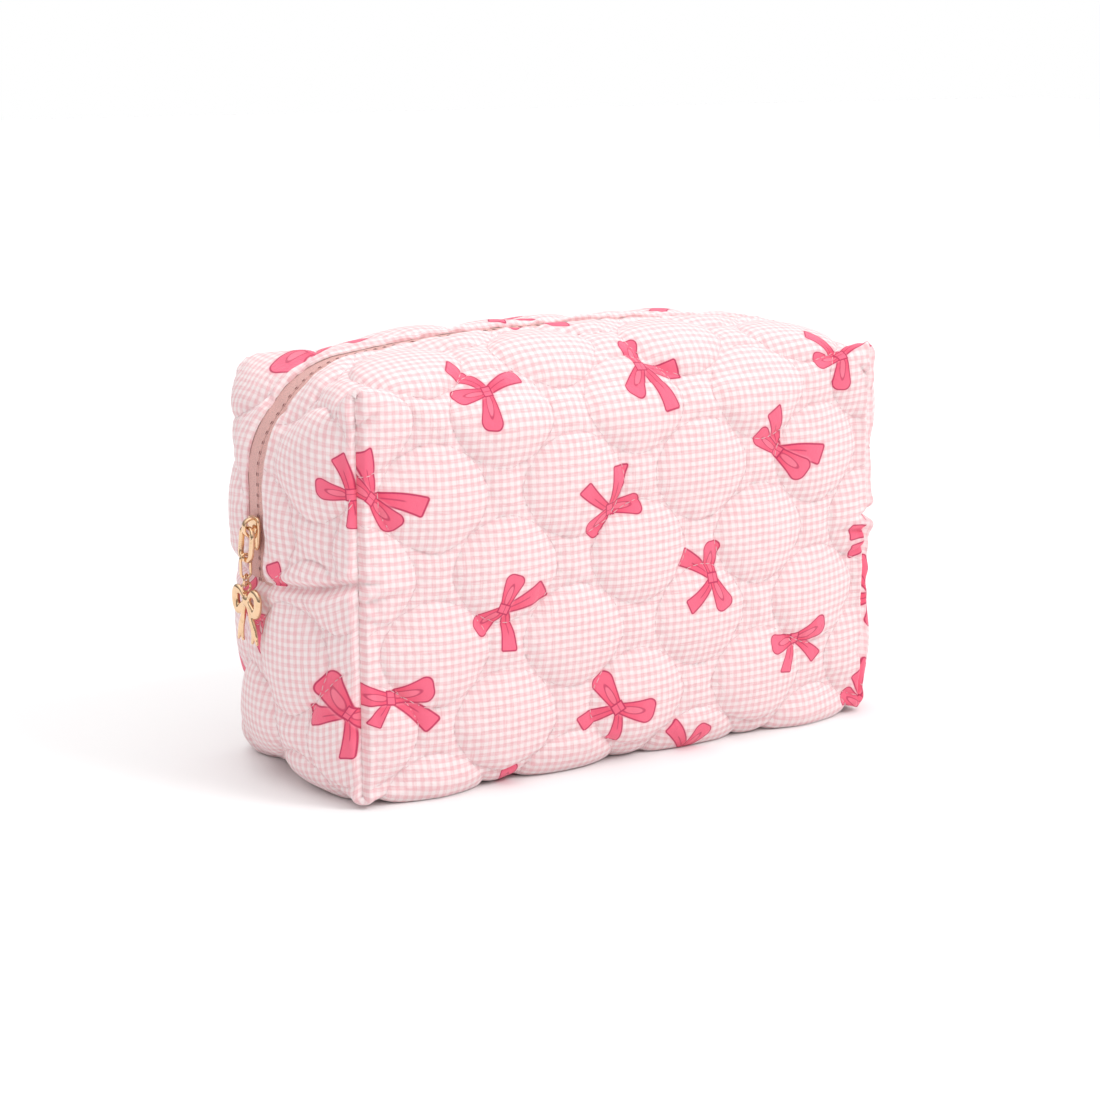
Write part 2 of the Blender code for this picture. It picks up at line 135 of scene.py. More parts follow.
# ---- light and camera ------------------------------------------------------------------
AMBIENT = 0.19              # brightness of the light from all round
SKY = 1.62                  # more of it straight above
KEY_PLACE, KEY_TARGET = (1.375, -2.0, 2.375), (0, 0, 0.08)
KEY_SIZE, KEY_POWER = 1.1, 35.0
FLOOR_REACH = 6
CAMERA_AZIMUTH, CAMERA_ELEVATION = -31.8, 13.1
CAMERA_TARGET = (-0.0064, 0, 0.0742)
CAMERA_DISTANCE, CAMERA_LENS = 0.8917, 73.83

# ---- quilting -------------------------------------------------------------------------
QUILT_PITCH_X = 0.0575
QUILT_PITCH_Y = 0.0574
QUILT_START_X = 0.0295      # first puff from the left corner seam
QUILT_START_Y = 0.0380      # first puff below the top corners
WAVE_RISE = 0.0056          # of the stitched waves that run along the bag
WAVE_SWAY = 0.0072          # of those that run round it
PUFF_HEIGHT = 0.0044        # of the full cells
FLAT_HEIGHT = 0.0021        # of the cells between them
STITCH_SINK = 0.0016        # how far the stitched lines pull the cloth in
TUG_HEIGHT, TUG_WIDTH, TUG_LENGTH = 0.00062, 0.0036, 0.014    # small puckers at the stitches
TUG_REACH = 0.0045
CREASE_HEIGHT, SLACK_HEIGHT = 0.00030, 0.0008    # fine and broad unevenness
CALM_REACH = 0.009          # the puffs die out this near to a seam or the zip
GATHER_HEIGHT = 0.0007
SEAM_GROOVE, SEAM_LIP = 0.0028, 0.0011           # the corner seams
MIDDLE_GROOVE, MIDDLE_LIP = 0.0011, 0.0012       # the seams across the ends
MIDDLE_DEEPER = 0.0019      # added to that groove away from the zip
EDGE_BEAD, EDGE_DIP = 0.0008, 0.0005             # the rolled edge beside the zip


# ---- small helpers --------------------------------------------------------------------
def srgb(code):
    """A linear colour from a six-digit hex code."""
    parts = [int(code[k:k + 2], 16) / 255 for k in (0, 2, 4)]
    return tuple(c / 12.92 if c <= 0.04045 else ((c + 0.055) / 1.055) ** 2.4 for c in parts)


def smooth(t):
    t = np.clip(t, 0, 1)
    return t * t * (3 - 2 * t)


def fade(t, power):
    return np.clip(1 - np.abs(t) ** power, 0, 1)


def ridge(distance, centre, width):
    """A smooth ridge of height 1, the given distance out."""
    return np.exp(-((distance - centre) / width) ** 2)


def graded(start, stop, count, dense):
    """Numbers from start to stop, closer together at both ends."""
    t = np.linspace(0, 1, count + 1)
    return start + (stop - start) * (t - dense * np.sin(2 * math.pi * t) / (2 * math.pi))


def value_noise(x, y, seed):
    """Smooth noise from -1 to 1 with one lattice step per unit."""
    table = np.random.default_rng(seed).uniform(-1, 1, (256, 256))
    x0, y0 = np.floor(x).astype(int), np.floor(y).astype(int)
    fx, fy = smooth(x - x0), smooth(y - y0)
    pick = lambda i, j: table[(x0 + i) % 256, (y0 + j) % 256]
    low = pick(0, 0) * (1 - fx) + pick(1, 0) * fx
    high = pick(0, 1) * (1 - fx) + pick(1, 1) * fx
    return low * (1 - fy) + high * fy


# ---- shader and geometry node helpers -------------------------------------------------
class Graph:
    """Builds a node tree: node() makes any node, and maths is written on Value objects."""

    def __init__(self, tree):
        self.tree = tree

    def node(self, kind, settings=None, inputs=None):
        made = self.tree.nodes.new(kind)
        for name, value in (settings or {}).items():
            setattr(made, name, value)
        self.fill(made, inputs or {})
        return made

    def fill(self, node, inputs):
        """Links or sets a node's inputs."""
        for name, value in inputs.items():
            value = value.socket if isinstance(value, Value) else value
            if isinstance(value, bpy.types.NodeSocket):
                self.tree.links.new(value, node.inputs[name])
            else:
                node.inputs[name].default_value = value

    def value(self, node, output=0):
        return Value(self, node.outputs[output])

    def maths(self, operation, first, second=0.0, third=None):
        inputs = {0: first, 1: second}
        if third is not None:
            inputs[2] = third
        return self.value(self.node("ShaderNodeMath", {"operation": operation}, inputs))

    def mix(self, factor, first, second):
        """A mix of two colours, each a tuple or a socket."""
        first, second = ((*c, 1) if isinstance(c, tuple) else c for c in (first, second))
        made = self.node("ShaderNodeMix", {"data_type": "RGBA"},
                         {0: factor, 6: first, 7: second})
        return made.outputs[2]

    def split(self, vector):
        """The three numbers of a vector socket."""
        made = self.node("ShaderNodeSeparateXYZ", None, {0: vector})
        return [self.value(made, k) for k in range(3)]

    def bump(self, strength, height):
        made = self.node("ShaderNodeBump", None,
                         {"Strength": strength, "Distance": 1.0, "Height": height})
        return made.outputs[0]


class Value:
    """A number socket with Python's operators."""

    def __init__(self, graph, socket):
        self.graph = graph
        self.socket = socket

    def __add__(self, other):
        return self.graph.maths("ADD", self, other)

    def __sub__(self, other):
        return self.graph.maths("SUBTRACT", self, other)

    def __rsub__(self, other):
        return self.graph.maths("SUBTRACT", other, self)

    def __mul__(self, other):
        return self.graph.maths("MULTIPLY", self, other)

    def __truediv__(self, other):
        return self.graph.maths("DIVIDE", self, other)

    def __neg__(self):
        return self.graph.maths("MULTIPLY", self, -1.0)

    def abs(self):
        return self.graph.maths("ABSOLUTE", self)

    def sin(self):
        return self.graph.maths("SINE", self)

    def most(self, other):
        return self.graph.maths("MAXIMUM", self, other)

    def least(self, other):
        return self.graph.maths("MINIMUM", self, other)

    def step(self, edge, softness):
        """0 above the edge and 1 below it."""
        made = self.graph.node("ShaderNodeMapRange", {"interpolation_type": "SMOOTHSTEP"},
                               {0: self, 1: edge - softness, 2: edge + softness, 3: 1.0, 4: 0.0})
        return self.graph.value(made)

    __radd__ = __add__
    __rmul__ = __mul__


def new_material(name):
    material = bpy.data.materials.new(name)
    material.use_nodes = True
    graph = Graph(material.node_tree)
    shader = material.node_tree.nodes["Principled BSDF"]
    return material, graph, shader


def set_shader(graph, shader, **values):
    """Sets or links the Principled shader's sockets, named with _ for each space."""
    for name, value in values.items():
        colour = (*value, 1) if isinstance(value, tuple) else value
        graph.fill(shader, {name.replace("_", " "): colour})


# ---- mesh helpers ---------------------------------------------------------------------
def unit(vectors):
    return vectors / np.maximum(np.linalg.norm(vectors, axis=-1, keepdims=True), 1e-12)


def face_normals(points, faces):
    """Normals of four-sided faces, as long as twice their areas."""
    corners = points[faces]
    return np.cross(corners[:, 2] - corners[:, 0], corners[:, 3] - corners[:, 1])


def grid_faces(index):
    """Four-sided faces of a grid of point numbers."""
    return np.stack([index[:-1, :-1], index[1:, :-1], index[1:, 1:], index[:-1, 1:]],
                    -1).reshape(-1, 4)


def face_edges(values):
    """The two ends of each face's four edges: all first edges, all second edges, and so on."""
    return np.concatenate([values[:, [k, (k + 1) % 4]] for k in range(4)])


def thickened(faces, count):
    """The faces of a closed layer whose other skin is numbered count further on.

    The walls between the skins come last. Also gives the edges they stand on, and their
    numbers in the list of all edges.
    """
    edges = face_edges(faces)
    ordered = np.sort(edges, axis=1)
    _, first, times = np.unique(ordered[:, 0] * count + ordered[:, 1], return_index=True,
                                return_counts=True)
    numbers = first[times == 1]
    rim = edges[numbers]
    walls = np.stack([rim[:, 1], rim[:, 0], rim[:, 0] + count, rim[:, 1] + count], -1)
    return np.concatenate([faces, faces[:, ::-1] + count, walls]), rim, numbers


def in_scene(name, data):
    obj = bpy.data.objects.new(name, data)
    bpy.context.scene.collection.objects.link(obj)
    return obj


def shade_smooth(mesh):
    mesh.polygons.foreach_set("use_smooth", np.ones(len(mesh.polygons), bool))


def write_weave(mesh, places):
    """Writes each face corner's place in the flat cloth."""
    layer = mesh.uv_layers.new(name="weave")
    layer.data.foreach_set("uv", places.astype(np.float32).ravel())


# ---- the soft box ---------------------------------------------------------------------
def roll_over(inset, drop, radius):
    """Moves points on a square edge onto a round fold."""
    on_top = (drop <= 1e-9) & (inset < radius)
    on_wall = (inset <= 1e-9) & (drop < radius) & ~on_top
    angle = np.where(on_top, 1 - inset / radius, 1 + drop / radius) * math.pi / 4
    moved = on_top | on_wall
    return (np.where(moved, radius * (1 - np.sin(angle)), inset),
            np.where(moved, radius * (1 - np.cos(angle)), drop))


def soft_box(u, v, w):
    """Points of the bag's outer surface from points of the cube with corners at +-1."""
    u, v, w = np.broadcast_arrays(u, v, w)
    end_fade, face_fade = fade(v, END_FADE), fade(u, FACE_FADE)
    end_x = LENGTH / 2 + END_BULGE * end_fade
    face_y = DEPTH / 2 + FACE_BULGE * face_fade
    stretch = np.clip(2 * np.abs(u) - 1, 0, 1) ** 1.5
    x = LENGTH / 2 * np.abs(u) + END_BULGE * end_fade * stretch
    y = DEPTH / 2 * np.abs(v) + FACE_BULGE * face_fade * np.abs(v)
    bottom = (CORNER_LIFT * np.clip((np.abs(u) - 0.72) / 0.28, 0, 1)
              * np.clip((np.abs(v) - 0.72) / 0.28, 0, 1))
    top = EAR_Z + CROWN * fade(u, 3) * fade(v, 2)
    z = bottom + (top - bottom) * (w + 1) / 2
    in_x, in_y, down, up = end_x - x, face_y - y, top - z, z - bottom
    upper = down < up
    radius_x = np.where(upper, END_TOP_ROLL, END_BOTTOM_ROLL) * end_fade + 1e-6
    radius_y = np.where(upper, FACE_TOP_ROLL, FACE_BOTTOM_ROLL) * face_fade + 1e-6
    level = np.where(upper, down, up)
    in_x, fall_x = roll_over(in_x, level, radius_x)
    in_y, fall_y = roll_over(in_y, level, radius_y)
    fall = fall_x + fall_y - level
    z = np.where(upper, top - fall, bottom + fall)
    return np.stack([np.copysign(end_x - in_x, u), np.copysign(face_y - in_y, v), z], -1)


def inner_point(u, v, w, depth):
    """Points a depth inside the bag's plain surface, shrunk so that corners stay square."""
    point = soft_box(u, v, w)
    end_x = LENGTH / 2 + END_BULGE * fade(v, END_FADE)
    face_y = DEPTH / 2 + FACE_BULGE * fade(u, FACE_FADE)
    half = (EAR_Z + CROWN * fade(u, 3) * fade(v, 2)) / 2
    middle = np.stack([0 * half, 0 * half, half], -1)
    keep = 1 - np.stack([depth / end_x, depth / face_y, depth / half], -1)
    return middle + (point - middle) * keep


def along(points, axis):
    """Distance travelled along one axis of a grid of points."""
    steps = np.linalg.norm(np.diff(points, axis=axis), axis=-1)
    pad = [(0, 0)] * steps.ndim
    pad[axis] = (1, 0)
    return np.pad(np.cumsum(steps, axis=axis), pad)


class Patch:
    """A grid of one side of the bag, with each point's place in the flat cloth.

    cube holds the points' places on the cube, flat their (p, q) in the cloth: p along the
    bag from its middle, and q down the front from the top corners. seam, middle and edge
    are the distances to a corner seam, to the seam across an end, and to the zip, and drop
    is the distance down from the top corners, on the front and back only.
    """

    def __init__(self, cube, p, q, seam, middle, edge, drop=FAR):
        self.cube = cube
        self.drop = drop + 0 * p
        self.flat = np.stack([p, q], -1)
        self.seam = seam
        self.middle = middle
        self.edge = edge


def split_level(v):
    """Cube level of the seam across an end, which sags in the middle."""
    return SPLIT_W - SPLIT_SAG * (1 - np.abs(v) ** 2)


# Faces of one half at a density of 1: along the bag, round it from a corner seam to the zip,
# in the zip's width, and below and above the seams across the ends.
ALONG_COUNT, AROUND_COUNT, SLOT_COUNT = 184, 36, 6
LOW_COUNT, HIGH_COUNT = 62, 58


def half_patches(side, density, slot_at):
    """The patches of the front half, or mirrored with the cloth running on for the back.

    They are the face, the top, the base, and the high and low part of each end.
    """
    u = graded(-1, 1, int(ALONG_COUNT * density), 0.45)
    share = graded(0, 1, int(AROUND_COUNT * density), 0.4)
    slot_top = slot_at(side, np.abs(u)) / (DEPTH / 2)
    slot_end = slot_at(side, 1.0) / (DEPTH / 2)
    v_outer = -1 + (1 - slot_end) * share
    v_inner = np.linspace(-slot_end, 0, int(SLOT_COUNT * density) + 1)[1:]
    v_all = np.concatenate([v_outer, v_inner])
    low_share = graded(0, 1, int(LOW_COUNT * density), 0.4)
    high_share = graded(0, 1, int(HIGH_COUNT * density), 0.4)
    w = np.concatenate([-1 + (SPLIT_W + 1) * low_share,
                        (SPLIT_W + (1 - SPLIT_W) * high_share)[1:]])
    middle_u = len(u) // 2

    def cube(a, b, c):
        return np.stack(np.broadcast_arrays(a, b, c), -1).astype(float)

    def surface_of(places):
        return soft_box(places[..., 0], places[..., 1], places[..., 2])

    def from_middle(points):
        travelled = along(points, 0)
        return travelled - travelled[middle_u]

    face = cube(u[:, None], -1.0, w[None, :])
    face_points = surface_of(face)
    p_face = from_middle(face_points)
    climb = along(face_points, 1)
    level = np.array([np.interp(0, w, column) for column in climb])
    q_face = SEAM_HEIGHT / 2 - (climb - level[:, None])
    to_seam = (1 - np.abs(u)) * LENGTH / 2
    above = np.array([np.interp(SPLIT_W, w, column) for column in climb])
    above = np.abs(climb - above[:, None])
    patches = [Patch(face, p_face, q_face, np.broadcast_to(to_seam[:, None], p_face.shape),
                     above + to_seam[:, None] * 0.6, FAR + 0 * p_face, q_face)]

    v_top = -1 + (1 - slot_top[:, None]) * share[None, :]
    top = cube(u[:, None], v_top, 1.0)
    top_points = surface_of(top)
    p_top = from_middle(top_points)
    q_top = q_face[:, -1:] - along(top_points, 1)
    ear = np.hypot(to_seam[:, None], (1 + v_top) * DEPTH / 2)
    patches.append(Patch(top, p_top, q_top, ear, FAR + 0 * p_top,
                         (-slot_top[:, None] - v_top) * DEPTH / 2))

    base = cube(u[:, None], v_all[None, :], -1.0)
    base_points = surface_of(base)
    p_base = from_middle(base_points)
    q_base = q_face[:, :1] + along(base_points, 1)
    foot = np.hypot(to_seam[:, None], (1 + v_all[None, :]) * DEPTH / 2)
    patches.append(Patch(base, p_base, q_base, foot, FAR + 0 * p_base, FAR + 0 * p_base))

    for end in (-1, 1):
        column = -1 if end > 0 else 0
        split = split_level(v_outer)[:, None]
        high = cube(end, v_outer[:, None], split + (1 - split) * high_share)
        points = surface_of(high)
        fall = along(points, 1)
        p = p_top[column][:, None] + end * (fall[:, -1:] - fall)
        reach = along(points, 0)
        q = q_face[column, -1] - reach
        patches.append(Patch(high, p, q, reach, fall,
                             (-slot_end - v_outer[:, None]) * DEPTH / 2 + 0 * p))
        split = split_level(v_all)[:, None]
        low = cube(end, v_all[:, None], -1 + (split + 1) * low_share)
        points = surface_of(low)
        rise = along(points, 1)
        p = p_base[column][:, None] + end * rise
        reach = along(points, 0)
        q = q_face[column, 0] + reach
        patches.append(Patch(low, p, q, reach, rise[:, -1:] - rise, FAR + 0 * p))

    if side > 0:
        turn = q_base[:, -1]
        for index, patch in enumerate(patches):
            patch.cube = patch.cube * (1, -1, 1)
            if index < 3:
                around = turn[:, None]
            else:
                around = turn[-1 if index > 4 else 0]
                if index in (4, 6):
                    around = patch.flat[-1:, :, 1]
            patch.flat = np.stack([patch.flat[..., 0], 2 * around - patch.flat[..., 1]], -1)
    return patches


# ---- the quilted surface --------------------------------------------------------------
def between_waves(t, wave):
    """Which two lines t lies between, lines k being at k +- wave, and where: -1 to 1."""
    start = np.floor(t)
    low, index = None, None
    for shift in (-1, 0, 1):
        k = start + shift
        line = k + np.where(k % 2 == 0, wave, -wave)
        if low is None:
            low, index = line, k
        else:
            passed = t >= line
            low, index = np.where(passed, line, low), np.where(passed, k, index)
    nxt = index + 1
    high = nxt + np.where(nxt % 2 == 0, wave, -wave)
    return index, low, high


def quilt_cells(p, q):
    """Cell parity, place in the cell and distance to the stitched lines along and around."""
    x = p + LENGTH / 2 - QUILT_START_X
    y = q - QUILT_START_Y
    half_x, half_y = QUILT_PITCH_X / 2, QUILT_PITCH_Y / 2
    rise = WAVE_RISE / half_y * np.cos(2 * math.pi * x / QUILT_PITCH_X)
    sway = WAVE_SWAY / half_x * np.cos(2 * math.pi * y / QUILT_PITCH_Y)
    row, low_y, high_y = between_waves(y / half_y - 0.5, rise)
    column, low_x, high_x = between_waves(x / half_x - 0.5, sway)
    ty, tx = y / half_y - 0.5, x / half_x - 0.5
    b = 2 * (ty - low_y) / (high_y - low_y) - 1
    a = 2 * (tx - low_x) / (high_x - low_x) - 1
    near_row = np.minimum(ty - low_y, high_y - ty) * half_y
    near_column = np.minimum(tx - low_x, high_x - tx) * half_x
    return (row + column) % 2 == 0, a, b, near_row, near_column


# Small folds: from and to, in mm from a corner seam and down from its top, then the depth
# in metres and the width in mm.
PLEATS = (
    ((0.2, 12.0), (9.5, 5.0), 0.0024, 1.1),
    ((0.3, 17.5), (6.0, 13.5), 0.0012, 0.8),
    ((0.3, 74.5), (22.0, 71.0), 0.0017, 1.4),
    ((0.3, 81.0), (13.0, 84.0), 0.0011, 1.2),
    ((0.3, 48.0), (9.0, 52.0), 0.0005, 1.1),
    ((0.3, 128.0), (9.0, 122.0), 0.0006, 1.1),
)


def pleats(across, drop, seam):
    """Small folds that run from the corner seams into the front and back."""
    total = 0
    for (x0, y0), (x1, y1), depth, width in PLEATS:
        dx, dy = (x1 - x0) / 1000, (y1 - y0) / 1000
        length = math.hypot(dx, dy)
        ax, ay = across - x0 / 1000, drop - y0 / 1000
        t = (ax * dx + ay * dy) / length ** 2
        off = (ay * dx - ax * dy) / length
        fading = smooth(1.15 - np.clip(t, 0, 2)) * smooth((t + 0.25) / 0.25)
        valley = ridge(off, 0, width / 1000)
        bank = ridge(off, -1.8 * width / 1000, 1.4 * width / 1000)
        total = total + depth * fading * (0.6 * bank - valley)
    return np.where(seam < FAR / 2, total, 0)


def relief(patch):
    """How far the quilted cloth stands out of the plain surface.

    It is made of the puffs, tugs along the stitching, slack, gathers beside the seams,
    the lips and grooves of the seams, the small folds and the rolled edge beside the zip.
    """
    p, q = patch.flat[..., 0], patch.flat[..., 1]
    puffed, a, b, near_row, near_column = quilt_cells(p, q)
    dome = np.clip((1 - a * a) * (1 - b * b), 0, 1)
    height = np.where(puffed, PUFF_HEIGHT * dome ** 0.48, FLAT_HEIGHT * dome ** 0.50)
    height = height - STITCH_SINK
    tug_row = value_noise(p / TUG_WIDTH, q / TUG_LENGTH, 11) * np.exp(-near_row / TUG_REACH)
    tug_column = (value_noise(p / TUG_LENGTH, q / TUG_WIDTH, 12)
                  * np.exp(-near_column / TUG_REACH))
    creases = value_noise(p / 0.011 + 7, q / 0.008, 13) * CREASE_HEIGHT
    height = height + TUG_HEIGHT * (tug_row + tug_column) + creases
    slack = value_noise(p / 0.034, q / 0.028, 14) * SLACK_HEIGHT
    calm = smooth(patch.seam / CALM_REACH) * smooth(patch.edge / CALM_REACH)
    calm = calm * smooth(patch.middle / 0.008)
    along_seam = np.where(patch.seam < FAR / 2, p + q, 0)
    gathers = value_noise(along_seam / 0.0045, patch.seam / CALM_REACH, 15) * GATHER_HEIGHT
    height = (height + slack) * calm + gathers * (1 - calm) * smooth(patch.seam / 0.003)
    height = (height + SEAM_LIP * ridge(patch.seam, 0.0030, 0.0018)
              - SEAM_GROOVE * ridge(patch.seam, 0, 0.0013))
    from_zip = np.abs(patch.cube[..., 1]) * DEPTH / 2
    deep = MIDDLE_GROOVE + MIDDLE_DEEPER * smooth((from_zip - 0.010) / 0.010)
    height = (height + MIDDLE_LIP * ridge(patch.middle, 0.0046, 0.0028)
              - deep * ridge(patch.middle, 0, 0.0019))
    height = height + pleats(LENGTH / 2 - np.abs(p), patch.drop, patch.seam)
    return (height + EDGE_BEAD * ridge(patch.edge, 0.0022, 0.0019)
            - EDGE_DIP * ridge(patch.edge, 0, 0.0009))


def cloth_slot(side, end_ward):
    """Distance from the zip's middle to the cloth's edge, wider towards the ends."""
    return SLOT_ON_TOP[side] + (SLOT_ON_ENDS[side] - SLOT_ON_TOP[side]) * smooth(
        (end_ward - 0.72) / 0.26)


def lining_slot(side, end_ward):
    return LINING_SLOT + 0 * end_ward


class Surface:
    """The whole outer surface, welded, with the cloth's relief and its normals."""

    def __init__(self, density, slot_at):
        self.halves = {side: half_patches(side, density, slot_at) for side in (-1, 1)}
        patches = self.halves[-1] + self.halves[1]
        cubes = np.concatenate([patch.cube.reshape(-1, 3) for patch in patches])
        keys = np.round(cubes * 1e5).astype(np.int64)
        _, first, self.inverse = np.unique(keys, axis=0, return_index=True, return_inverse=True)
        self.inverse = self.inverse.reshape(-1)
        self.cube = cubes[first]
        self.base = soft_box(self.cube[:, 0], self.cube[:, 1], self.cube[:, 2])
        self.faces, self.flat, self.owner = [], [], []
        start = 0
        for side, patches in self.halves.items():
            for patch in patches:
                rows, columns = patch.cube.shape[:2]
                index = start + np.arange(rows * columns).reshape(rows, columns)
                quads = grid_faces(index)
                welded = self.inverse[quads]
                outward = self.base[welded].mean(1) - (0, 0, EAR_Z / 2)
                if (face_normals(self.base, welded) * outward).sum() < 0:
                    quads = quads[:, ::-1]
                self.faces.append(self.inverse[quads])
                self.flat.append(patch.flat.reshape(-1, 2)[quads - start])
                self.owner.append(np.full(len(quads), side))
                start += rows * columns
        self.faces = np.concatenate(self.faces)
        self.flat = np.concatenate(self.flat)
        self.owner = np.concatenate(self.owner)
        every = [patch for side in (-1, 1) for patch in self.halves[side]]
        heights = np.concatenate([relief(patch).reshape(-1) for patch in every])
        self.height = np.zeros(len(self.base))
        self.height[self.inverse] = heights
        self.edge = np.full(len(self.base), FAR)
        np.minimum.at(self.edge, self.inverse,
                      np.concatenate([patch.edge.reshape(-1) for patch in every]))
        self.plain_normal = self.normals_of(self.base)
        self.outer = self.base + self.plain_normal * self.height[:, None]
        self.outer[:, 2] = np.maximum(self.outer[:, 2], 0.0002)
        self.normal = self.normals_of(self.outer)

    def at_depth(self, depth):
        """The surface at a depth inside the bag, following half of the outside's relief."""
        u, v, w = self.cube.T
        return inner_point(u, v, w, np.maximum(depth + 0.5 * self.height, 0.0006 - self.height))

    def from_zip(self):
        """Sideways distance from the zip's middle, far below the zip's ends."""
        return np.where(self.edge < FAR / 2, np.abs(self.base[:, 1]), FAR)

    def cut(self, side):
        """One half's flat cut: its width and length, and its area."""
        flat = self.flat[self.owner == side]
        one, other = flat[:, 2] - flat[:, 0], flat[:, 3] - flat[:, 1]
        area = np.abs(one[:, 0] * other[:, 1] - one[:, 1] * other[:, 0]).sum() / 2
        size = np.ptp(flat.reshape(-1, 2), axis=0)
        return (float(size[0]), float(size[1])), float(area)

    def normals_of(self, points):
        """Smooth normals of the surface's faces at its points, wherever these are moved."""
        facing = face_normals(points, self.faces)
        total = np.zeros_like(points)
        for corner in range(4):
            np.add.at(total, self.faces[:, corner], facing)
        return unit(total)


def mesh_object(name, points, faces, materials, slots=None):
    """A mesh object in the scene, from arrays."""
    mesh = bpy.data.meshes.new(name)
    mesh.from_pydata(points.tolist(), [], [tuple(face) for face in faces])
    for material in materials:
        mesh.materials.append(material)
    if slots is not None:
        mesh.polygons.foreach_set("material_index", np.asarray(slots, np.int32))
    shade_smooth(mesh)
    mesh.update()
    return in_scene(name, mesh)


def closed_layer(name, surface, side, outer, inner, outer_normal, materials, bows=None):
    """A padded layer of one half: outer and inner skins and the walls along their edge."""
    mine = surface.owner == side
    faces = surface.faces[mine]
    flat = surface.flat[mine]
    used, local = np.unique(faces, return_inverse=True)
    local = local.reshape(faces.shape)
    count = len(used)
    every, _, numbers = thickened(local, count)
    rim_flat = face_edges(flat)[numbers]
    walls = every[2 * len(local):]
    points = np.concatenate([outer[used], inner[used]])
    slots = np.concatenate([np.zeros(len(local)), np.ones(len(local)), np.zeros(len(walls))])
    obj = mesh_object(name, points, every, materials, slots)
    wall_flat = np.stack([rim_flat[:, 1], rim_flat[:, 0], rim_flat[:, 0], rim_flat[:, 1]], 1)
    loops_flat = np.concatenate([flat, flat[:, ::-1], wall_flat]).reshape(-1, 2)
    write_weave(obj.data, loops_flat)
    wall_normals = np.repeat(unit(face_normals(points, walls))[:, None, :], 4, axis=1)
    inner_normal = -surface.plain_normal[used]
    loop_normals = np.concatenate([outer_normal[used][local].reshape(-1, 3),
                                   inner_normal[local[:, ::-1]].reshape(-1, 3),
                                   wall_normals.reshape(-1, 3)])
    obj.data.normals_split_custom_set(loop_normals.tolist())
    if bows is not None:
        add_bow_attributes(obj, loops_flat, len(every), bows)
    return obj


# ---- the bow print --------------------------------------------------------------------
# Each bow: place in mm from the left corner seam and down from the top corners, then the
# angle in degrees and the length in mm of its two loops and its two tails.
BOWS = [
    (53, 1, 184, 13.0, -98, 14.0, 125, 17.0, 25, 17.0),
    (122, -4, 90, 14.0, 235, 14.5, -10, 17.0, -62, 20.0),
    (215, 1, 184, 13.0, -98, 14.0, 125, 17.0, 25, 17.0),
    (5, 37, 140, 13.0, -50, 14.5, 97, 17.0, -6, 20.0),
    (181, 35, 144, 13.6, -39, 16.5, 100, 17.3, -6, 21.0),
    (102, 49, 7, 13.6, 220, 12.5, 71, 16.8, 146, 15.8),
    (56, 81, 69, 13.5, 211, 13.0, 14, 18.4, -77, 16.5),
    (149, 81, 90, 14.0, -65, 14.5, 141, 17.0, 224, 15.6),
    (236, 77, 120, 14.0, -70, 14.0, 165, 16.0, 205, 15.0),
    (11, 110, 172, 14.0, 10, 16.5, 229, 12.0, -31, 20.0),
    (105, 126, 120, 15.0, -14, 16.5, 194, 16.0, -90, 14.0),
    (192, 112, 185, 13.5, 15, 15.0, 239, 14.0, -37, 15.0),
    (60, 156, 90, 13.0, 235, 13.0, -10, 16.0, -62, 18.0),
    (141, 152, 60, 14.0, 200, 13.0, 120, 16.0, -40, 16.0),
    (231, 150, 144, 13.6, -39, 15.0, 100, 17.0, -6, 18.0),
    (-36, -2, 88, 13.0, -90, 12.0, 14, 14.0, 186, 12.0),
    (-35, 152, 45, 13.0, 216, 20.0, 260, 18.0, 0, 16.5),
    (-86.5, -37, 180, 13.0, 120, 13.0, 3, 17.0, 240, 14.0),
    (-69, 207, 80, 12.0, 262, 13.0, 25, 14.0, 165, 14.0),
    (-40, 243, 100, 13.0, 280, 13.0, 60, 15.0, -10, 15.0),
    (19, 416, 12, 15.0, 211, 22.0, 262, 13.0, -42, 21.0),
    (98, 420, 200, 14.0, 20, 13.0, 235, 16.0, -40, 16.0),
    (183, 419, 175, 15.0, -5, 14.0, 205, 16.0, -35, 15.0),
    (98, -46, 10, 13.0, 190, 13.0, -40, 14.0, 60, 14.0),
]
BOW_REPEATS = [(62, 152), (-110, 152), (30, 288), (-140, 288), (202, 60)]
BOW_SPACING = 40.0
BOW_REACH = 0.0235
LIMBS = ("loop_a", "loop_b", "tail_a", "tail_b")


def placed_bows():
    """The listed bows, and repeats of them wherever there is room."""
    placed = list(BOWS)
    for shift_x, shift_y in BOW_REPEATS:
        for bow in BOWS[:12]:
            x, y = bow[0] + shift_x, bow[1] + shift_y
            clear = all(math.hypot(x - other[0], y - other[1]) > BOW_SPACING for other in placed)
            if clear and 0 < x < 330 and -60 < y < 450:
                placed.append((x, y) + bow[2:])
    return np.array(placed, float)


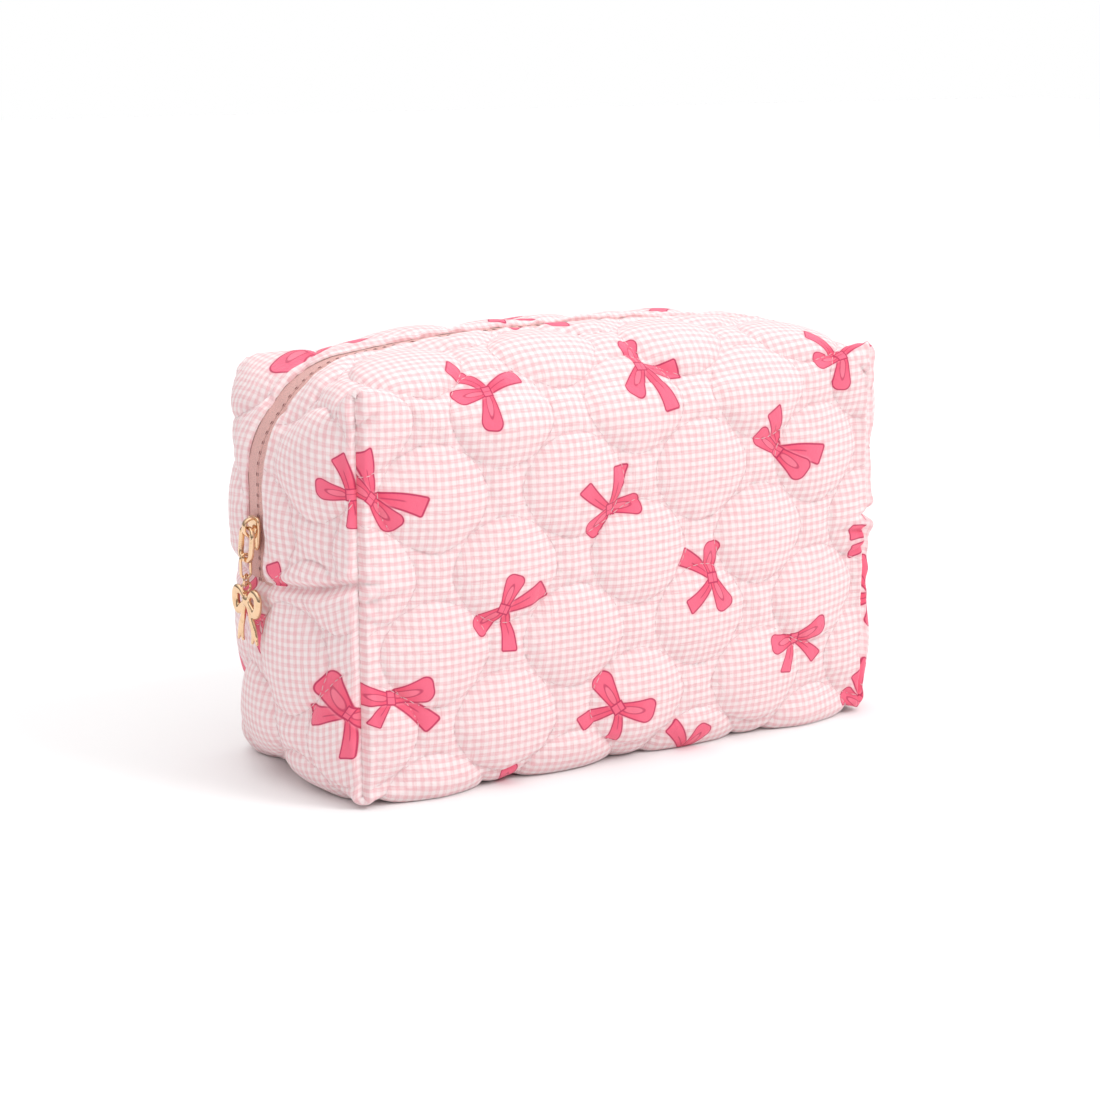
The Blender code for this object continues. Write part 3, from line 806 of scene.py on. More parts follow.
def add_bow_attributes(obj, loops_flat, face_count, bows):
    """Writes each face corner's place along every limb of the nearest bow, in limb lengths."""
    corner = loops_flat.reshape(face_count, 4, 2)
    middle = corner.mean(1)
    places = np.stack([bows[:, 0] / 1000 - LENGTH / 2, bows[:, 1] / 1000], -1)
    apart = np.linalg.norm(middle[:, None, :] - places[None], axis=2)
    nearest = apart.argmin(1)
    close = apart[np.arange(face_count), nearest] < BOW_REACH
    chosen = bows[nearest]
    dx = corner[..., 0] - places[nearest][:, None, 0]
    dy = -(corner[..., 1] - places[nearest][:, None, 1])
    for number, name in enumerate(LIMBS):
        angle = np.radians(chosen[:, 2 + 2 * number])[:, None]
        length = chosen[:, 3 + 2 * number][:, None] / 1000
        x = (dx * np.cos(angle) + dy * np.sin(angle)) / length
        y = (-dx * np.sin(angle) + dy * np.cos(angle)) / length
        far = ~close[:, None]
        vector = np.stack([np.where(far, -9.0, x), np.where(far, 9.0, y), 0 * x], -1)
        layer = obj.data.attributes.new(name, "FLOAT_VECTOR", "CORNER")
        layer.data.foreach_set("vector", vector.astype(np.float32).ravel())


def limb_distance(graph, name, root, end, corner, bend, slant, bulge):
    """Signed distance to a flaring ribbon from (0, 0) to (1, 0), and its coordinates."""
    attribute = graph.node("ShaderNodeAttribute", {"attribute_name": name})
    x, y, _ = graph.split(attribute.outputs["Vector"])
    y = y - (x * x - x * 0.6) * bend
    half_width = (x * (end - root) + root).most(root)
    side = y.abs() - half_width
    tip = x + y * slant + y * y * bulge - 1.0
    first = (side + corner).most(0.0)
    second = (tip + corner).most(0.0)
    outside = graph.maths("SQRT", first * first + second * second)
    inside = (side + corner).most(tip + corner).least(0.0)
    distance = (outside + inside - corner).most(-x - 0.02)
    return distance, x, y


# Each limb: half its width at the knot and at its end, the radius of its end's corners, its
# bend, the slant of its end and how round that is, all in lengths of the limb.
RIBBONS = (
    ("tail_a", 0.08, 0.22, 0.05, 0.20, 0.35, 0.0),
    ("tail_b", 0.08, 0.20, 0.05, -0.18, -0.3, 0.0),
    ("loop_b", 0.11, 0.34, 0.24, 0.12, 0.0, 0.2),
    ("loop_a", 0.11, 0.33, 0.23, -0.12, 0.0, 0.2),
)


def bow_paint(graph, ground):
    """Paints the bows over the ground colour: tails, then loops, then the knot."""
    coral, shade = srgb("F9708C"), srgb("F25B79")
    line, glow = srgb("C5385E"), srgb("FFA3B4")
    colour = ground
    for name, *shape in RIBBONS:
        distance, x, y = limb_distance(graph, name, *shape)
        inside = distance.step(0.0, 0.012)
        colour = graph.mix(distance.step(0.045, 0.045) * 0.45, colour, glow)
        tint = graph.mix(x.step(0.45, 0.4), coral, shade)
        if name.startswith("loop"):
            across, out = y / 0.085, (x - 0.40) / 0.30
            fold = graph.maths("SQRT", across * across + out * out)
            tint = graph.mix(fold.step(1.0, 0.10) * 0.30, tint, glow)
            creases = (fold - 1.0).abs().step(0.14, 0.10)
        else:
            creases = (y - x * 0.03).abs().step(0.013, 0.010) * x.step(0.62, 0.05)
        tint = graph.mix(creases * 0.75, tint, line)
        edge = distance.abs().step(0.017, 0.012)
        colour = graph.mix(inside, colour, tint)
        colour = graph.mix(edge, colour, line)
    attribute = graph.node("ShaderNodeAttribute", {"attribute_name": "loop_a"})
    x, y, _ = graph.split(attribute.outputs["Vector"])
    knot = (x.abs() - 0.13).most(y.abs() - 0.16)
    colour = graph.mix(knot.step(0.0, 0.015), colour, coral)
    crease = (y + 0.02).abs().step(0.012, 0.01) * knot.step(0.0, 0.01)
    colour = graph.mix(crease * 0.7, colour, line)
    return graph.mix(knot.abs().step(0.020, 0.012), colour, line)


# ---- materials ------------------------------------------------------------------------
CLOTH_GLOSS = 0.25
THREAD_PITCH = 0.00052      # of the printed cotton's weave
RIB_PITCH = 0.0007          # of the zip tape's weave


def flat_place(graph):
    """A point's place in the flat cloth, as two numbers and as a vector."""
    made = graph.node("ShaderNodeUVMap", {"uv_map": "weave"})
    p, q, _ = graph.split(made.outputs[0])
    return p, q, made.outputs[0]


def object_place(graph):
    return graph.node("ShaderNodeTexCoord").outputs["Object"]


def noise(graph, vector, scale, detail=2.0, roughness=0.5):
    made = graph.node("ShaderNodeTexNoise", {"noise_dimensions": "3D"},
                      {"Vector": vector, "Scale": scale, "Detail": detail,
                       "Roughness": roughness})
    return graph.value(made)


def stretched(graph, p, q, first, second):
    """The place in the flat cloth with each direction scaled by its own number."""
    made = graph.node("ShaderNodeCombineXYZ", None, {0: p * first, 1: q * second})
    return made.outputs[0]


def printed_cotton(settings):
    """White cotton with a fine rose gingham, broken threads, slubs and printed bows."""
    material, graph, shader = new_material("printed_cotton")
    p, q, vector = flat_place(graph)
    turn = 2 * math.pi / settings.check_pitch
    wander = noise(graph, vector, 320.0)
    fine, coarse = 2600.0, 150.0
    bands = []
    for place, first, second in ((p, fine, coarse), (q, coarse, fine)):
        band = ((place * turn + wander).sin() * 1.25 + 0.5).most(0.0).least(1.0)
        threads = noise(graph, stretched(graph, p, q, first, second), 1.0, 2.0)
        bands.append(band * (threads * 2.6 - 0.35).most(0.0))
    both = bands[0] * 0.42 + bands[1] * 0.58
    white, rose = tuple(settings.cloth_white), tuple(settings.cloth_rose)
    ground = graph.mix(both.least(1.0), white, rose)
    broad = noise(graph, vector, 60.0, 2.0)
    ground = graph.mix(broad * 0.16, ground, srgb("F9D3D6"))
    colour = bow_paint(graph, ground)
    slub = noise(graph, vector, 1400.0, 2.0, 0.6)
    crumple = noise(graph, vector, 210.0, 4.0, 0.62)
    turn = 2 * math.pi / THREAD_PITCH
    height = (p * turn).sin() * (q * turn).sin() * 0.00004
    height = height + (crumple * 0.00110 + slub * 0.00016)
    set_shader(graph, shader, Base_Color=colour, Roughness=slub * 0.12 + 0.80,
               Normal=graph.bump(0.8, height), Sheen_Weight=0.25, Sheen_Roughness=0.45,
               Specular_IOR_Level=CLOTH_GLOSS)
    return material


def plain_cloth(name, colour, thread):
    """A plain weave of one colour, a little uneven."""
    material, graph, shader = new_material(name)
    vector = object_place(graph)
    x, y, z = graph.split(vector)
    uneven = noise(graph, vector, 500.0, 3.0)
    dark = tuple(c * 0.80 for c in colour)
    tint = graph.mix(uneven * 0.6, colour, dark)
    turn = 2 * math.pi / thread
    height = ((x + y) * turn).sin() * ((z + y * 0.3) * turn).sin() * 0.00005
    height = height + noise(graph, vector, 240.0, 3.0) * 0.0003
    set_shader(graph, shader, Base_Color=tint, Roughness=uneven * 0.1 + 0.80,
               Normal=graph.bump(0.7, height), Sheen_Weight=0.2,
               Specular_IOR_Level=CLOTH_GLOSS)
    return material


def polished_gold(colour):
    """Thin pale gold plate, with faint polishing marks and random browner patches."""
    material, graph, shader = new_material("pale_gold")
    vector = object_place(graph)
    cloudy = noise(graph, vector, 420.0, 4.0)
    fine = noise(graph, vector, 2600.0, 3.0)
    # Random patches of a browner base colour.
    browner = tuple(c * k for c, k in zip(colour, (0.86, 0.80, 0.72)))
    tint = graph.mix(cloudy.step(0.42, 0.12) * 0.6, colour, browner)
    height = fine * 0.00006 + cloudy * 0.0002
    set_shader(graph, shader, Base_Color=tint, Roughness=fine * 0.10 + 0.07, Metallic=1.0,
               Normal=graph.bump(0.25, height))
    return material


def nylon(name, colour):
    """Slightly glossy thread or plastic."""
    material, graph, shader = new_material(name)
    uneven = noise(graph, object_place(graph), 800.0, 2.0)
    tint = graph.mix(uneven * 0.5, colour, tuple(c * 0.7 for c in colour))
    set_shader(graph, shader, Base_Color=tint, Roughness=uneven * 0.15 + 0.38,
               Normal=graph.bump(0.3, uneven * 0.0001))
    return material


def tape_cloth(colour):
    """Heathered woven zip tape."""
    material, graph, shader = new_material("zip_tape")
    p, q, vector = flat_place(graph)
    fine = noise(graph, vector, 1700.0, 3.0, 0.7)
    patchy = noise(graph, vector, 500.0, 2.0)
    dark, pale = tuple(c * 0.66 for c in colour), tuple(min(1, c * 1.25) for c in colour)
    tint = graph.mix(fine.step(0.45, 0.06) * 0.75, colour, dark)
    tint = graph.mix((fine - 0.54).step(0.0, 0.08) * -0.30 + 0.30, tint, pale)
    tint = graph.mix(patchy * 0.35, tint, tuple(c * 0.88 for c in colour))
    turn = 2 * math.pi / RIB_PITCH
    ribs = ((p + q.abs()) * turn).sin() * 0.00004
    set_shader(graph, shader, Base_Color=tint, Roughness=fine * 0.1 + 0.78,
               Normal=graph.bump(0.8, ribs + fine * 0.0001), Sheen_Weight=0.2,
               Specular_IOR_Level=CLOTH_GLOSS)
    return material


def stage_paint():
    material, graph, shader = new_material("pale_floor")
    set_shader(graph, shader, Base_Color=srgb("F5F5F5"), Roughness=0.9,
               Specular_IOR_Level=0.1)
    return material


# ---- stitches and teeth by geometry nodes ---------------------------------------------
def repeat_tree(name):
    """Repeats a small rounded bar along every line of a mesh of lines.

    The lines carry their surface's normal. Pitch is the distance from one bar to the next.
    """
    tree = bpy.data.node_groups.new(name, "GeometryNodeTree")
    graph = Graph(tree)
    face = tree.interface
    face.new_socket("Geometry", in_out="INPUT", socket_type="NodeSocketGeometry")
    for title, default in (("Pitch", 0.003), ("Length", 0.0024), ("Width", 0.0005),
                           ("Height", 0.0004), ("Sink", 0.0), ("Turn", 0.0)):
        socket = face.new_socket(title, in_out="INPUT", socket_type="NodeSocketFloat")
        socket.default_value = default
    face.new_socket("Seed", in_out="INPUT", socket_type="NodeSocketInt").default_value = 1
    face.new_socket("Uneven", in_out="INPUT", socket_type="NodeSocketFloat")
    face.new_socket("Material", in_out="INPUT", socket_type="NodeSocketMaterial")
    face.new_socket("Geometry", in_out="OUTPUT", socket_type="NodeSocketGeometry")
    start = graph.node("NodeGroupInput")
    given = start.outputs
    curve = graph.node("GeometryNodeMeshToCurve", None, {0: given["Geometry"]})
    even = graph.node("GeometryNodeResampleCurve", {"mode": "LENGTH"},
                      {"Curve": curve.outputs[0], "Length": given["Pitch"]})
    normal = graph.node("GeometryNodeInputNamedAttribute", {"data_type": "FLOAT_VECTOR"},
                        {"Name": "surface_normal"})
    tangent = graph.node("GeometryNodeInputTangent")
    stand = graph.node("FunctionNodeAlignRotationToVector", {"axis": "Z"},
                       {"Vector": normal.outputs[0]})
    lie = graph.node("FunctionNodeAlignRotationToVector", {"axis": "X", "pivot_axis": "Z"},
                     {"Rotation": stand.outputs[0], "Vector": tangent.outputs[0]})
    sway = graph.node("FunctionNodeRandomValue", {"data_type": "FLOAT"},
                      {2: -0.12, 3: 0.12, "Seed": given["Seed"]})
    turned = graph.maths("MULTIPLY", Value(graph, sway.outputs[1]), Value(graph, given["Uneven"]))
    angle = turned + Value(graph, given["Turn"])
    around = graph.node("ShaderNodeCombineXYZ", None, {2: angle})
    spin = graph.node("FunctionNodeRotateRotation", {"rotation_space": "LOCAL"},
                      {"Rotation": lie.outputs[0], "Rotate By": around.outputs[0]})
    bar = graph.node("GeometryNodeMeshUVSphere", None,
                     {"Segments": 8, "Rings": 4, "Radius": 0.5})
    size = graph.node("ShaderNodeCombineXYZ", None,
                      {0: given["Length"], 1: given["Width"], 2: given["Height"]})
    placed = graph.node("GeometryNodeInstanceOnPoints", None,
                        {"Points": even.outputs[0], "Instance": bar.outputs[0],
                         "Rotation": spin.outputs[0], "Scale": size.outputs[0]})
    drop = graph.node("ShaderNodeCombineXYZ", None, {2: Value(graph, given["Sink"]) * -1.0})
    sunk = graph.node("GeometryNodeTranslateInstances", None,
                      {"Instances": placed.outputs[0], "Translation": drop.outputs[0],
                       "Local Space": True})
    real = graph.node("GeometryNodeRealizeInstances", None, {0: sunk.outputs[0]})
    shaded = graph.node("GeometryNodeSetShadeSmooth", None, {0: real.outputs[0]})
    painted = graph.node("GeometryNodeSetMaterial", None,
                         {"Geometry": shaded.outputs[0], "Material": given["Material"]})
    graph.node("NodeGroupOutput", None, {0: painted.outputs[0]})
    return tree


def repeat_along(name, lines, tree, material, **sizes):
    """A plain mesh of bars along the lines, each line being (points, normals)."""
    mesh = bpy.data.meshes.new(name + "_lines")
    points = np.concatenate([line[0] for line in lines])
    normals = np.concatenate([line[1] for line in lines])
    edges, start = [], 0
    for line in lines:
        edges += [(k, k + 1) for k in range(start, start + len(line[0]) - 1)]
        start += len(line[0])
    mesh.from_pydata(points.tolist(), edges, [])
    layer = mesh.attributes.new("surface_normal", "FLOAT_VECTOR", "POINT")
    layer.data.foreach_set("vector", normals.astype(np.float32).ravel())
    guide = in_scene(name + "_lines", mesh)
    modifier = guide.modifiers.new("repeat", "NODES")
    modifier.node_group = tree
    for item in tree.interface.items_tree:
        if item.in_out == "INPUT" and item.name in sizes:
            modifier[item.identifier] = sizes[item.name]
        elif item.in_out == "INPUT" and item.name == "Material":
            modifier[item.identifier] = material
    bpy.context.view_layer.update()
    evaluated = guide.evaluated_get(bpy.context.evaluated_depsgraph_get())
    made = bpy.data.meshes.new_from_object(evaluated)
    made.name = name
    if "surface_normal" in made.attributes:
        made.attributes.remove(made.attributes["surface_normal"])
    bpy.data.objects.remove(guide, do_unlink=True)
    if not made.materials:
        made.materials.append(material)
    return in_scene(name, made)


# ---- lines of stitching ---------------------------------------------------------------
def crossing_line(values, points, normals, good):
    """Where values cross zero along the last axis, one point per row, cut where there is none."""
    found = (values[:, :-1] <= 0) != (values[:, 1:] <= 0)
    found &= good[:, :-1] & good[:, 1:]
    lines, current = [], []
    for row in range(len(values)):
        places = np.flatnonzero(found[row])
        if len(places):
            k = places[0]
            share = values[row, k] / (values[row, k] - values[row, k + 1])
            point = points[row, k] * (1 - share) + points[row, k + 1] * share
            normal = normals[row, k] * (1 - share) + normals[row, k + 1] * share
            if current and np.linalg.norm(point - current[-1][0]) > 0.004:
                lines.append(current)
                current = []
            current.append((point, normal))
        elif current:
            lines.append(current)
            current = []
    lines.append(current)
    return [(np.array([a for a, _ in line]), np.array([b for _, b in line]))
            for line in lines if len(line) > 3]


def quilting_lines(surface, side, points, normals, lift):
    """Every line of quilting on one half, as (points, normals)."""
    lines, start = [], 0
    for owner, patches in surface.halves.items():
        for index, patch in enumerate(patches):
            rows, columns = patch.cube.shape[:2]
            ids = surface.inverse[start:start + rows * columns].reshape(rows, columns)
            start += rows * columns
            if owner != side:
                continue
            normal = normals[ids]
            point = points[ids] + normal * lift
            x = patch.flat[..., 0] + LENGTH / 2 - QUILT_START_X
            y = patch.flat[..., 1] - QUILT_START_Y
            good = (patch.seam > 0.0016) & (patch.edge > 0.0026) & (patch.middle > 0.0016)
            rise = WAVE_RISE * np.cos(2 * math.pi * x / QUILT_PITCH_X)
            sway = WAVE_SWAY * np.cos(2 * math.pi * y / QUILT_PITCH_Y)
            runs_on = index < 3
            for t, wave, pitch, flip in ((y, rise, QUILT_PITCH_Y, not runs_on),
                                         (x, sway, QUILT_PITCH_X, runs_on)):
                low = int(math.floor(t.min() / (pitch / 2))) - 1
                high = int(math.ceil(t.max() / (pitch / 2))) + 1
                for k in range(low, high + 1):
                    sign = 1 if k % 2 == 0 else -1
                    value = t - (k + 0.5) * pitch / 2 - sign * wave
                    if flip:
                        lines += crossing_line(value.T, point.transpose(1, 0, 2),
                                               normal.transpose(1, 0, 2), good.T)
                    else:
                        lines += crossing_line(value, point, normal, good)
    return lines


# ---- strips along the zip -------------------------------------------------------------
def zip_course(spacing, reach_down=0.0):
    """Cube places (u, w) of even steps along the zip, from one end seam to the other."""
    low = SPLIT_W - SPLIT_SAG - reach_down
    rising = np.linspace(low, 1, 200)
    over = np.linspace(-1, 1, 600)[1:-1]
    u = np.concatenate([-np.ones(200), over, np.ones(200)])
    w = np.concatenate([rising, np.ones(len(over)), rising[::-1]])
    travelled = along(soft_box(u, 0 * u, w), 0)
    count = int(travelled[-1] / spacing)
    steps = np.linspace(0, travelled[-1], count + 1)
    return np.interp(steps, travelled, u), np.interp(steps, travelled, w), steps


def course_grid(course, offsets, depths):
    """Points at sideways offsets and depths along the zip: a grid of steps by offsets."""
    u, w, _ = course
    width = DEPTH / 2 + FACE_BULGE * fade(u, FACE_FADE)
    v = np.asarray(offsets)[None, :] / width[:, None]
    return inner_point(u[:, None], v, w[:, None], np.broadcast_to(depths, v.shape))


def zip_line(course, side, offset, depth):
    """The points and outward normals of a line beside the zip's middle."""
    step = 0.0002
    grid = course_grid(course, side * np.array([offset - step, offset, offset + step]), depth)
    normal = unit(np.cross(np.gradient(grid, axis=0), np.gradient(grid, axis=1)))
    outward = grid - np.array((0, 0, EAR_Z / 2))
    normal = normal * np.where((normal * outward).sum(-1, keepdims=True) < 0, -1, 1)
    return grid[:, 1], normal[:, 1]


def slab(name, outer, inner, material, places):
    """A closed strip between two grids of points, with its flat places as its UV map."""
    rows, columns = outer.shape[:2]
    count = rows * columns
    index = np.arange(count).reshape(rows, columns)
    quads = grid_faces(index)
    outer, inner = outer.reshape(-1, 3), inner.reshape(-1, 3)
    if (face_normals(outer, quads) * (outer - inner)[quads[:, 0]]).sum() < 0:
        quads = quads[:, ::-1]
    faces, rim, _ = thickened(quads, count)
    obj = mesh_object(name, np.concatenate([outer, inner]), faces, [material])
    flat = np.concatenate([places.reshape(-1, 2)] * 2)
    write_weave(obj.data, flat[faces.reshape(-1)])
    obj.data.polygons.foreach_set("use_smooth", np.arange(len(faces)) < 2 * len(quads))
    mark_sharp_rim(obj, rim, count)
    return obj


def mark_sharp_rim(obj, rim, count):
    """Keeps a strip's cut edges crisp."""
    sharp = {tuple(sorted(edge)) for edge in rim.tolist()}
    sharp |= {(a + count, b + count) for a, b in sharp}
    for edge in obj.data.edges:
        if tuple(sorted(edge.vertices)) in sharp:
            edge.use_edge_sharp = True


# ---- metalwork ------------------------------------------------------------------------
def outline_frames(outline, closed):
    """The points of a planar outline and its sideways direction at each."""
    points = np.asarray(outline, float)
    if closed:
        ahead, behind = np.roll(points, -1, 0), np.roll(points, 1, 0)
    else:
        ahead = np.vstack([points[1:], 2 * points[-1] - points[-2]])
        behind = np.vstack([2 * points[0] - points[1], points[:-1]])
    tangent = ahead - behind
    tangent /= np.linalg.norm(tangent, axis=1, keepdims=True)
    return points, np.stack([tangent[:, 1], -tangent[:, 0]], -1)


def smooth_outline(corners, closed, per_corner=8):
    """A Catmull-Rom curve through the corners."""
    corners = np.asarray(corners, float)
    count = len(corners)
    spans = count if closed else count - 1
    points = []
    for k in range(spans):
        if closed:
            a, b, c, d = (corners[(k + s) % count] for s in (-1, 0, 1, 2))
        else:
            a, b, c, d = (corners[min(max(k + s, 0), count - 1)] for s in (-1, 0, 1, 2))
        for t in np.arange(per_corner) / per_corner:
            points.append(0.5 * (2 * b + (c - a) * t + (2 * a - 5 * b + 4 * c - d) * t * t
                                 + (3 * b - a - 3 * c + d) * t ** 3))
    if not closed:
        points.append(corners[-1])
    return np.array(points)


def add_band(mesh, outline, half_width, half_thickness, closed, sides=14, power=0.75):
    """Sweeps a rounded section along a planar outline (s, t), thickness along the third axis."""
    points, across = outline_frames(outline, closed)
    count = len(points)
    half_width = np.broadcast_to(half_width, count)
    half_thickness = np.broadcast_to(half_thickness, count)
    rings = []
    for k in range(count):
        ring = []
        for side in range(sides):
            angle = 2 * math.pi * side / sides
            out, up = math.cos(angle), math.sin(angle)
            out = math.copysign(abs(out) ** power, out) * half_width[k]
            up = math.copysign(abs(up) ** power, up) * half_thickness[k]
            s, t = points[k] + across[k] * out
            ring.append(mesh.verts.new((s, t, up)))
        rings.append(ring)
    made = []
    for k in range(count if closed else count - 1):
        this, following = rings[k], rings[(k + 1) % count]
        for side in range(sides):
            after = (side + 1) % sides
            made.append(mesh.faces.new((this[side], this[after], following[after],
                                        following[side])))
    if not closed:
        made.append(mesh.faces.new(rings[0][::-1]))
        made.append(mesh.faces.new(rings[-1]))
    bmesh.ops.recalc_face_normals(mesh, faces=made)


def add_plate(mesh, outline, low, high, bevel, rows=3):
    """A plate with rounded edges from a convex outline (s, t), between two levels."""
    outline = np.asarray(outline, float)
    middle = outline.mean(0)
    reach = np.linalg.norm(outline - middle, axis=1, keepdims=True)
    rings = []
    steps = [k * math.pi / 2 / rows for k in range(rows + 1)]
    for angles, level, sign in ((steps[::-1], low, 1), (steps, high, -1)):
        for angle in angles:
            inset = bevel * (1 - math.cos(angle))
            rise = level + sign * bevel * (1 - math.sin(angle))
            moved = middle + (outline - middle) * (1 - inset / reach)
            rings.append([mesh.verts.new((s, t, rise)) for s, t in moved])
    made = [mesh.faces.new(rings[0][::-1]), mesh.faces.new(rings[-1])]
    count = len(outline)
    for lower, upper in zip(rings, rings[1:]):
        for k in range(count):
            after = (k + 1) % count
            made.append(mesh.faces.new((lower[k], lower[after], upper[after], upper[k])))
    bmesh.ops.recalc_face_normals(mesh, faces=made)


def add_ball(mesh, centre, radii):
    matrix = Matrix.Translation(centre) @ Matrix.Diagonal((*radii, 1))
    bmesh.ops.create_uvsphere(mesh, u_segments=20, v_segments=10, radius=1.0, matrix=matrix)


def facing_out(place, facing):
    """Local s across, t up and thickness along a level direction."""
    normal = Vector((math.cos(facing), math.sin(facing), 0))
    across = Vector((-math.sin(facing), math.cos(facing), 0))
    turn = Matrix((across, Vector((0, 0, 1)), normal)).transposed().to_4x4()
    return Matrix.Translation(place) @ turn


def solid_piece(name, mesh, matrix, material):
    """A piece from a shape's own mesh, put in its place in the shared frame."""
    mesh.transform(matrix)
    data = bpy.data.meshes.new(name)
    mesh.to_mesh(data)
    mesh.free()
    data.materials.append(material)
    shade_smooth(data)
    return in_scene(name, data)


def modified(obj, *modifiers):
    """Applies modifiers, each (kind, settings), leaving a plain mesh."""
    for kind, settings in modifiers:
        modifier = obj.modifiers.new(kind.lower(), kind)
        for name, value in settings.items():
            setattr(modifier, name, value)
    bpy.context.view_layer.update()
    evaluated = obj.evaluated_get(bpy.context.evaluated_depsgraph_get())
    mesh = bpy.data.meshes.new_from_object(evaluated)
    mesh.name = obj.name
    obj.modifiers.clear()
    obj.data = mesh
    return obj


def cast(obj, voxel, share):
    """Fuses overlapping shapes into one soft-edged casting."""
    materials = list(obj.data.materials)
    obj = modified(obj, ("REMESH", {"mode": "VOXEL", "voxel_size": voxel}),
                   ("SMOOTH", {"factor": 0.5, "iterations": 6}),
                   ("DECIMATE", {"ratio": share}))
    if not obj.data.materials:
        for material in materials:
            obj.data.materials.append(material)
    shade_smooth(obj.data)
    return obj


def joint_place(name):
    return Vector(JOINTS[name]["pos_m"])


# ---- settings and shared finds --------------------------------------------------------
class MakeupBagSettings(bpy.types.PropertyGroup):
    """Sizes and colours of the bag."""

    density: FloatProperty(name="Cloth detail", description="Fineness of the cloth's mesh",
                           default=1.25, min=0.3, max=3.0)
    check_pitch: FloatProperty(name="Gingham pitch", description="Width of one pair of checks",
                               default=0.0030, unit="LENGTH", subtype="DISTANCE")
    stitch_length: FloatProperty(name="Stitch length", description="Length of one stitch",
                                 default=0.0025, unit="LENGTH", subtype="DISTANCE")
    stitch_pitch: FloatProperty(name="Stitch pitch", description="From one stitch to the next",
                                default=0.0031, unit="LENGTH", subtype="DISTANCE")
    thread: FloatProperty(name="Thread", description="Thickness of the sewing thread",
                          default=0.00032, unit="LENGTH", subtype="DISTANCE")
    tooth_pitch: FloatProperty(name="Tooth pitch",
                               description="From one mark on the zip to the next",
                               default=0.0039, unit="LENGTH", subtype="DISTANCE")
    seed: IntProperty(name="Seed", description="Seed of the uneven stitching", default=4)
    cloth_white: FloatVectorProperty(name="Cloth", description="Ground colour of the cotton",
                                     subtype="COLOR", default=srgb("FCEEEE"), min=0, max=1)
    cloth_rose: FloatVectorProperty(name="Gingham", description="Colour of the checks",
                                    subtype="COLOR", default=srgb("EFBEC2"), min=0, max=1)
    lining: FloatVectorProperty(name="Lining", description="Colour of the lining",
                                subtype="COLOR", default=srgb("F6E3E1"), min=0, max=1)
    tape: FloatVectorProperty(name="Zip tape", description="Colour of the zip's tape",
                              subtype="COLOR", default=srgb("E2AFA9"), min=0, max=1)
    gold: FloatVectorProperty(name="Gold", description="Colour of the metalwork",
                              subtype="COLOR", default=srgb("EAC6A2"), min=0, max=1)


SHARED = {}


def shared(name, make):
    """A surface, material or node tree made once and used by several operators."""
    if name not in SHARED:
        SHARED[name] = make()
    return SHARED[name]


def settings_of(context):
    return context.scene.makeup_bag


def cloth_surface(settings):
    return shared("cloth", lambda: Surface(settings.density, cloth_slot))


def lining_surface(settings):
    return shared("lining", lambda: Surface(settings.density * 0.42, lining_slot))


def repeater():
    return shared("repeater", lambda: repeat_tree("Bars along lines"))


def gold(settings):
    return shared("gold", lambda: polished_gold(tuple(settings.gold)))


HALVES = (("front", -1), ("back", 1))


def follow_jaw(obj):
    """Cloth that is sewn to the base of the bag: bakes its place into its mesh."""
    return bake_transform(obj)


def shell_depth(from_zip):
    """Depth of the padding's inner face, thin where the cloth lies on the zip's tape."""
    return SHELL_EDGE + SHELL_THICKNESS * smooth((from_zip - TAPE_REACH) / TAPE_FADE)


def lining_depth(from_zip):
    """Depth of the lining's outer face."""
    return LINING_EDGE + LINING_STEP * smooth((from_zip - TAPE_REACH) / TAPE_FADE)


# ---- operators ------------------------------------------------------------------------
class MAKEUPBAG_OT_quilted_cloth(bpy.types.Operator):
    """Adds the quilted outer cloth with its padding, a front half and a back half"""

    bl_idname = "makeup_bag.quilted_cloth"
    bl_label = "Quilted Cloth"

    def execute(self, context):
        settings = settings_of(context)
        surface = cloth_surface(settings)
        cotton = shared("cotton", lambda: printed_cotton(settings))
        backing = shared("backing", lambda: plain_cloth("padding", srgb("F4EFEA"), 0.0009))
        inner = surface.at_depth(shell_depth(surface.from_zip()))
        bows = placed_bows()
        for half, side in HALVES:
            piece = closed_layer(f"quilted_{half}", surface, side, surface.outer, inner,
                                 surface.normal, [cotton, backing], bows)
            follow_jaw(piece)
            nodes = [f"{half}_cloth", f"{half}_wadding"]
            if side < 0:
                nodes += ["lower_cloth", "lower_wadding"]
            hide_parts(*nodes)
        return {"FINISHED"}


class MAKEUPBAG_OT_lining(bpy.types.Operator):
    """Adds the lining, quilted with the cloth, a front half and a back half"""

    bl_idname = "makeup_bag.lining"
    bl_label = "Lining"

    def execute(self, context):
        settings = settings_of(context)
        surface = lining_surface(settings)
        cloth = shared("lining_cloth", lambda: plain_cloth("lining_cotton",
                                                           tuple(settings.lining), 0.0007))
        depth = lining_depth(surface.from_zip())
        outer, inner = surface.at_depth(depth), surface.at_depth(depth + LINING_THICKNESS)
        for half, side in HALVES:
            piece = closed_layer(f"lining_{half}", surface, side, outer, inner,
                                 surface.normals_of(outer), [cloth, cloth])
            follow_jaw(piece)
            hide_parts(f"{half}_lining", *(["lower_lining"] if side < 0 else []))
            flat, area = surface.cut(side)
        return {"FINISHED"}


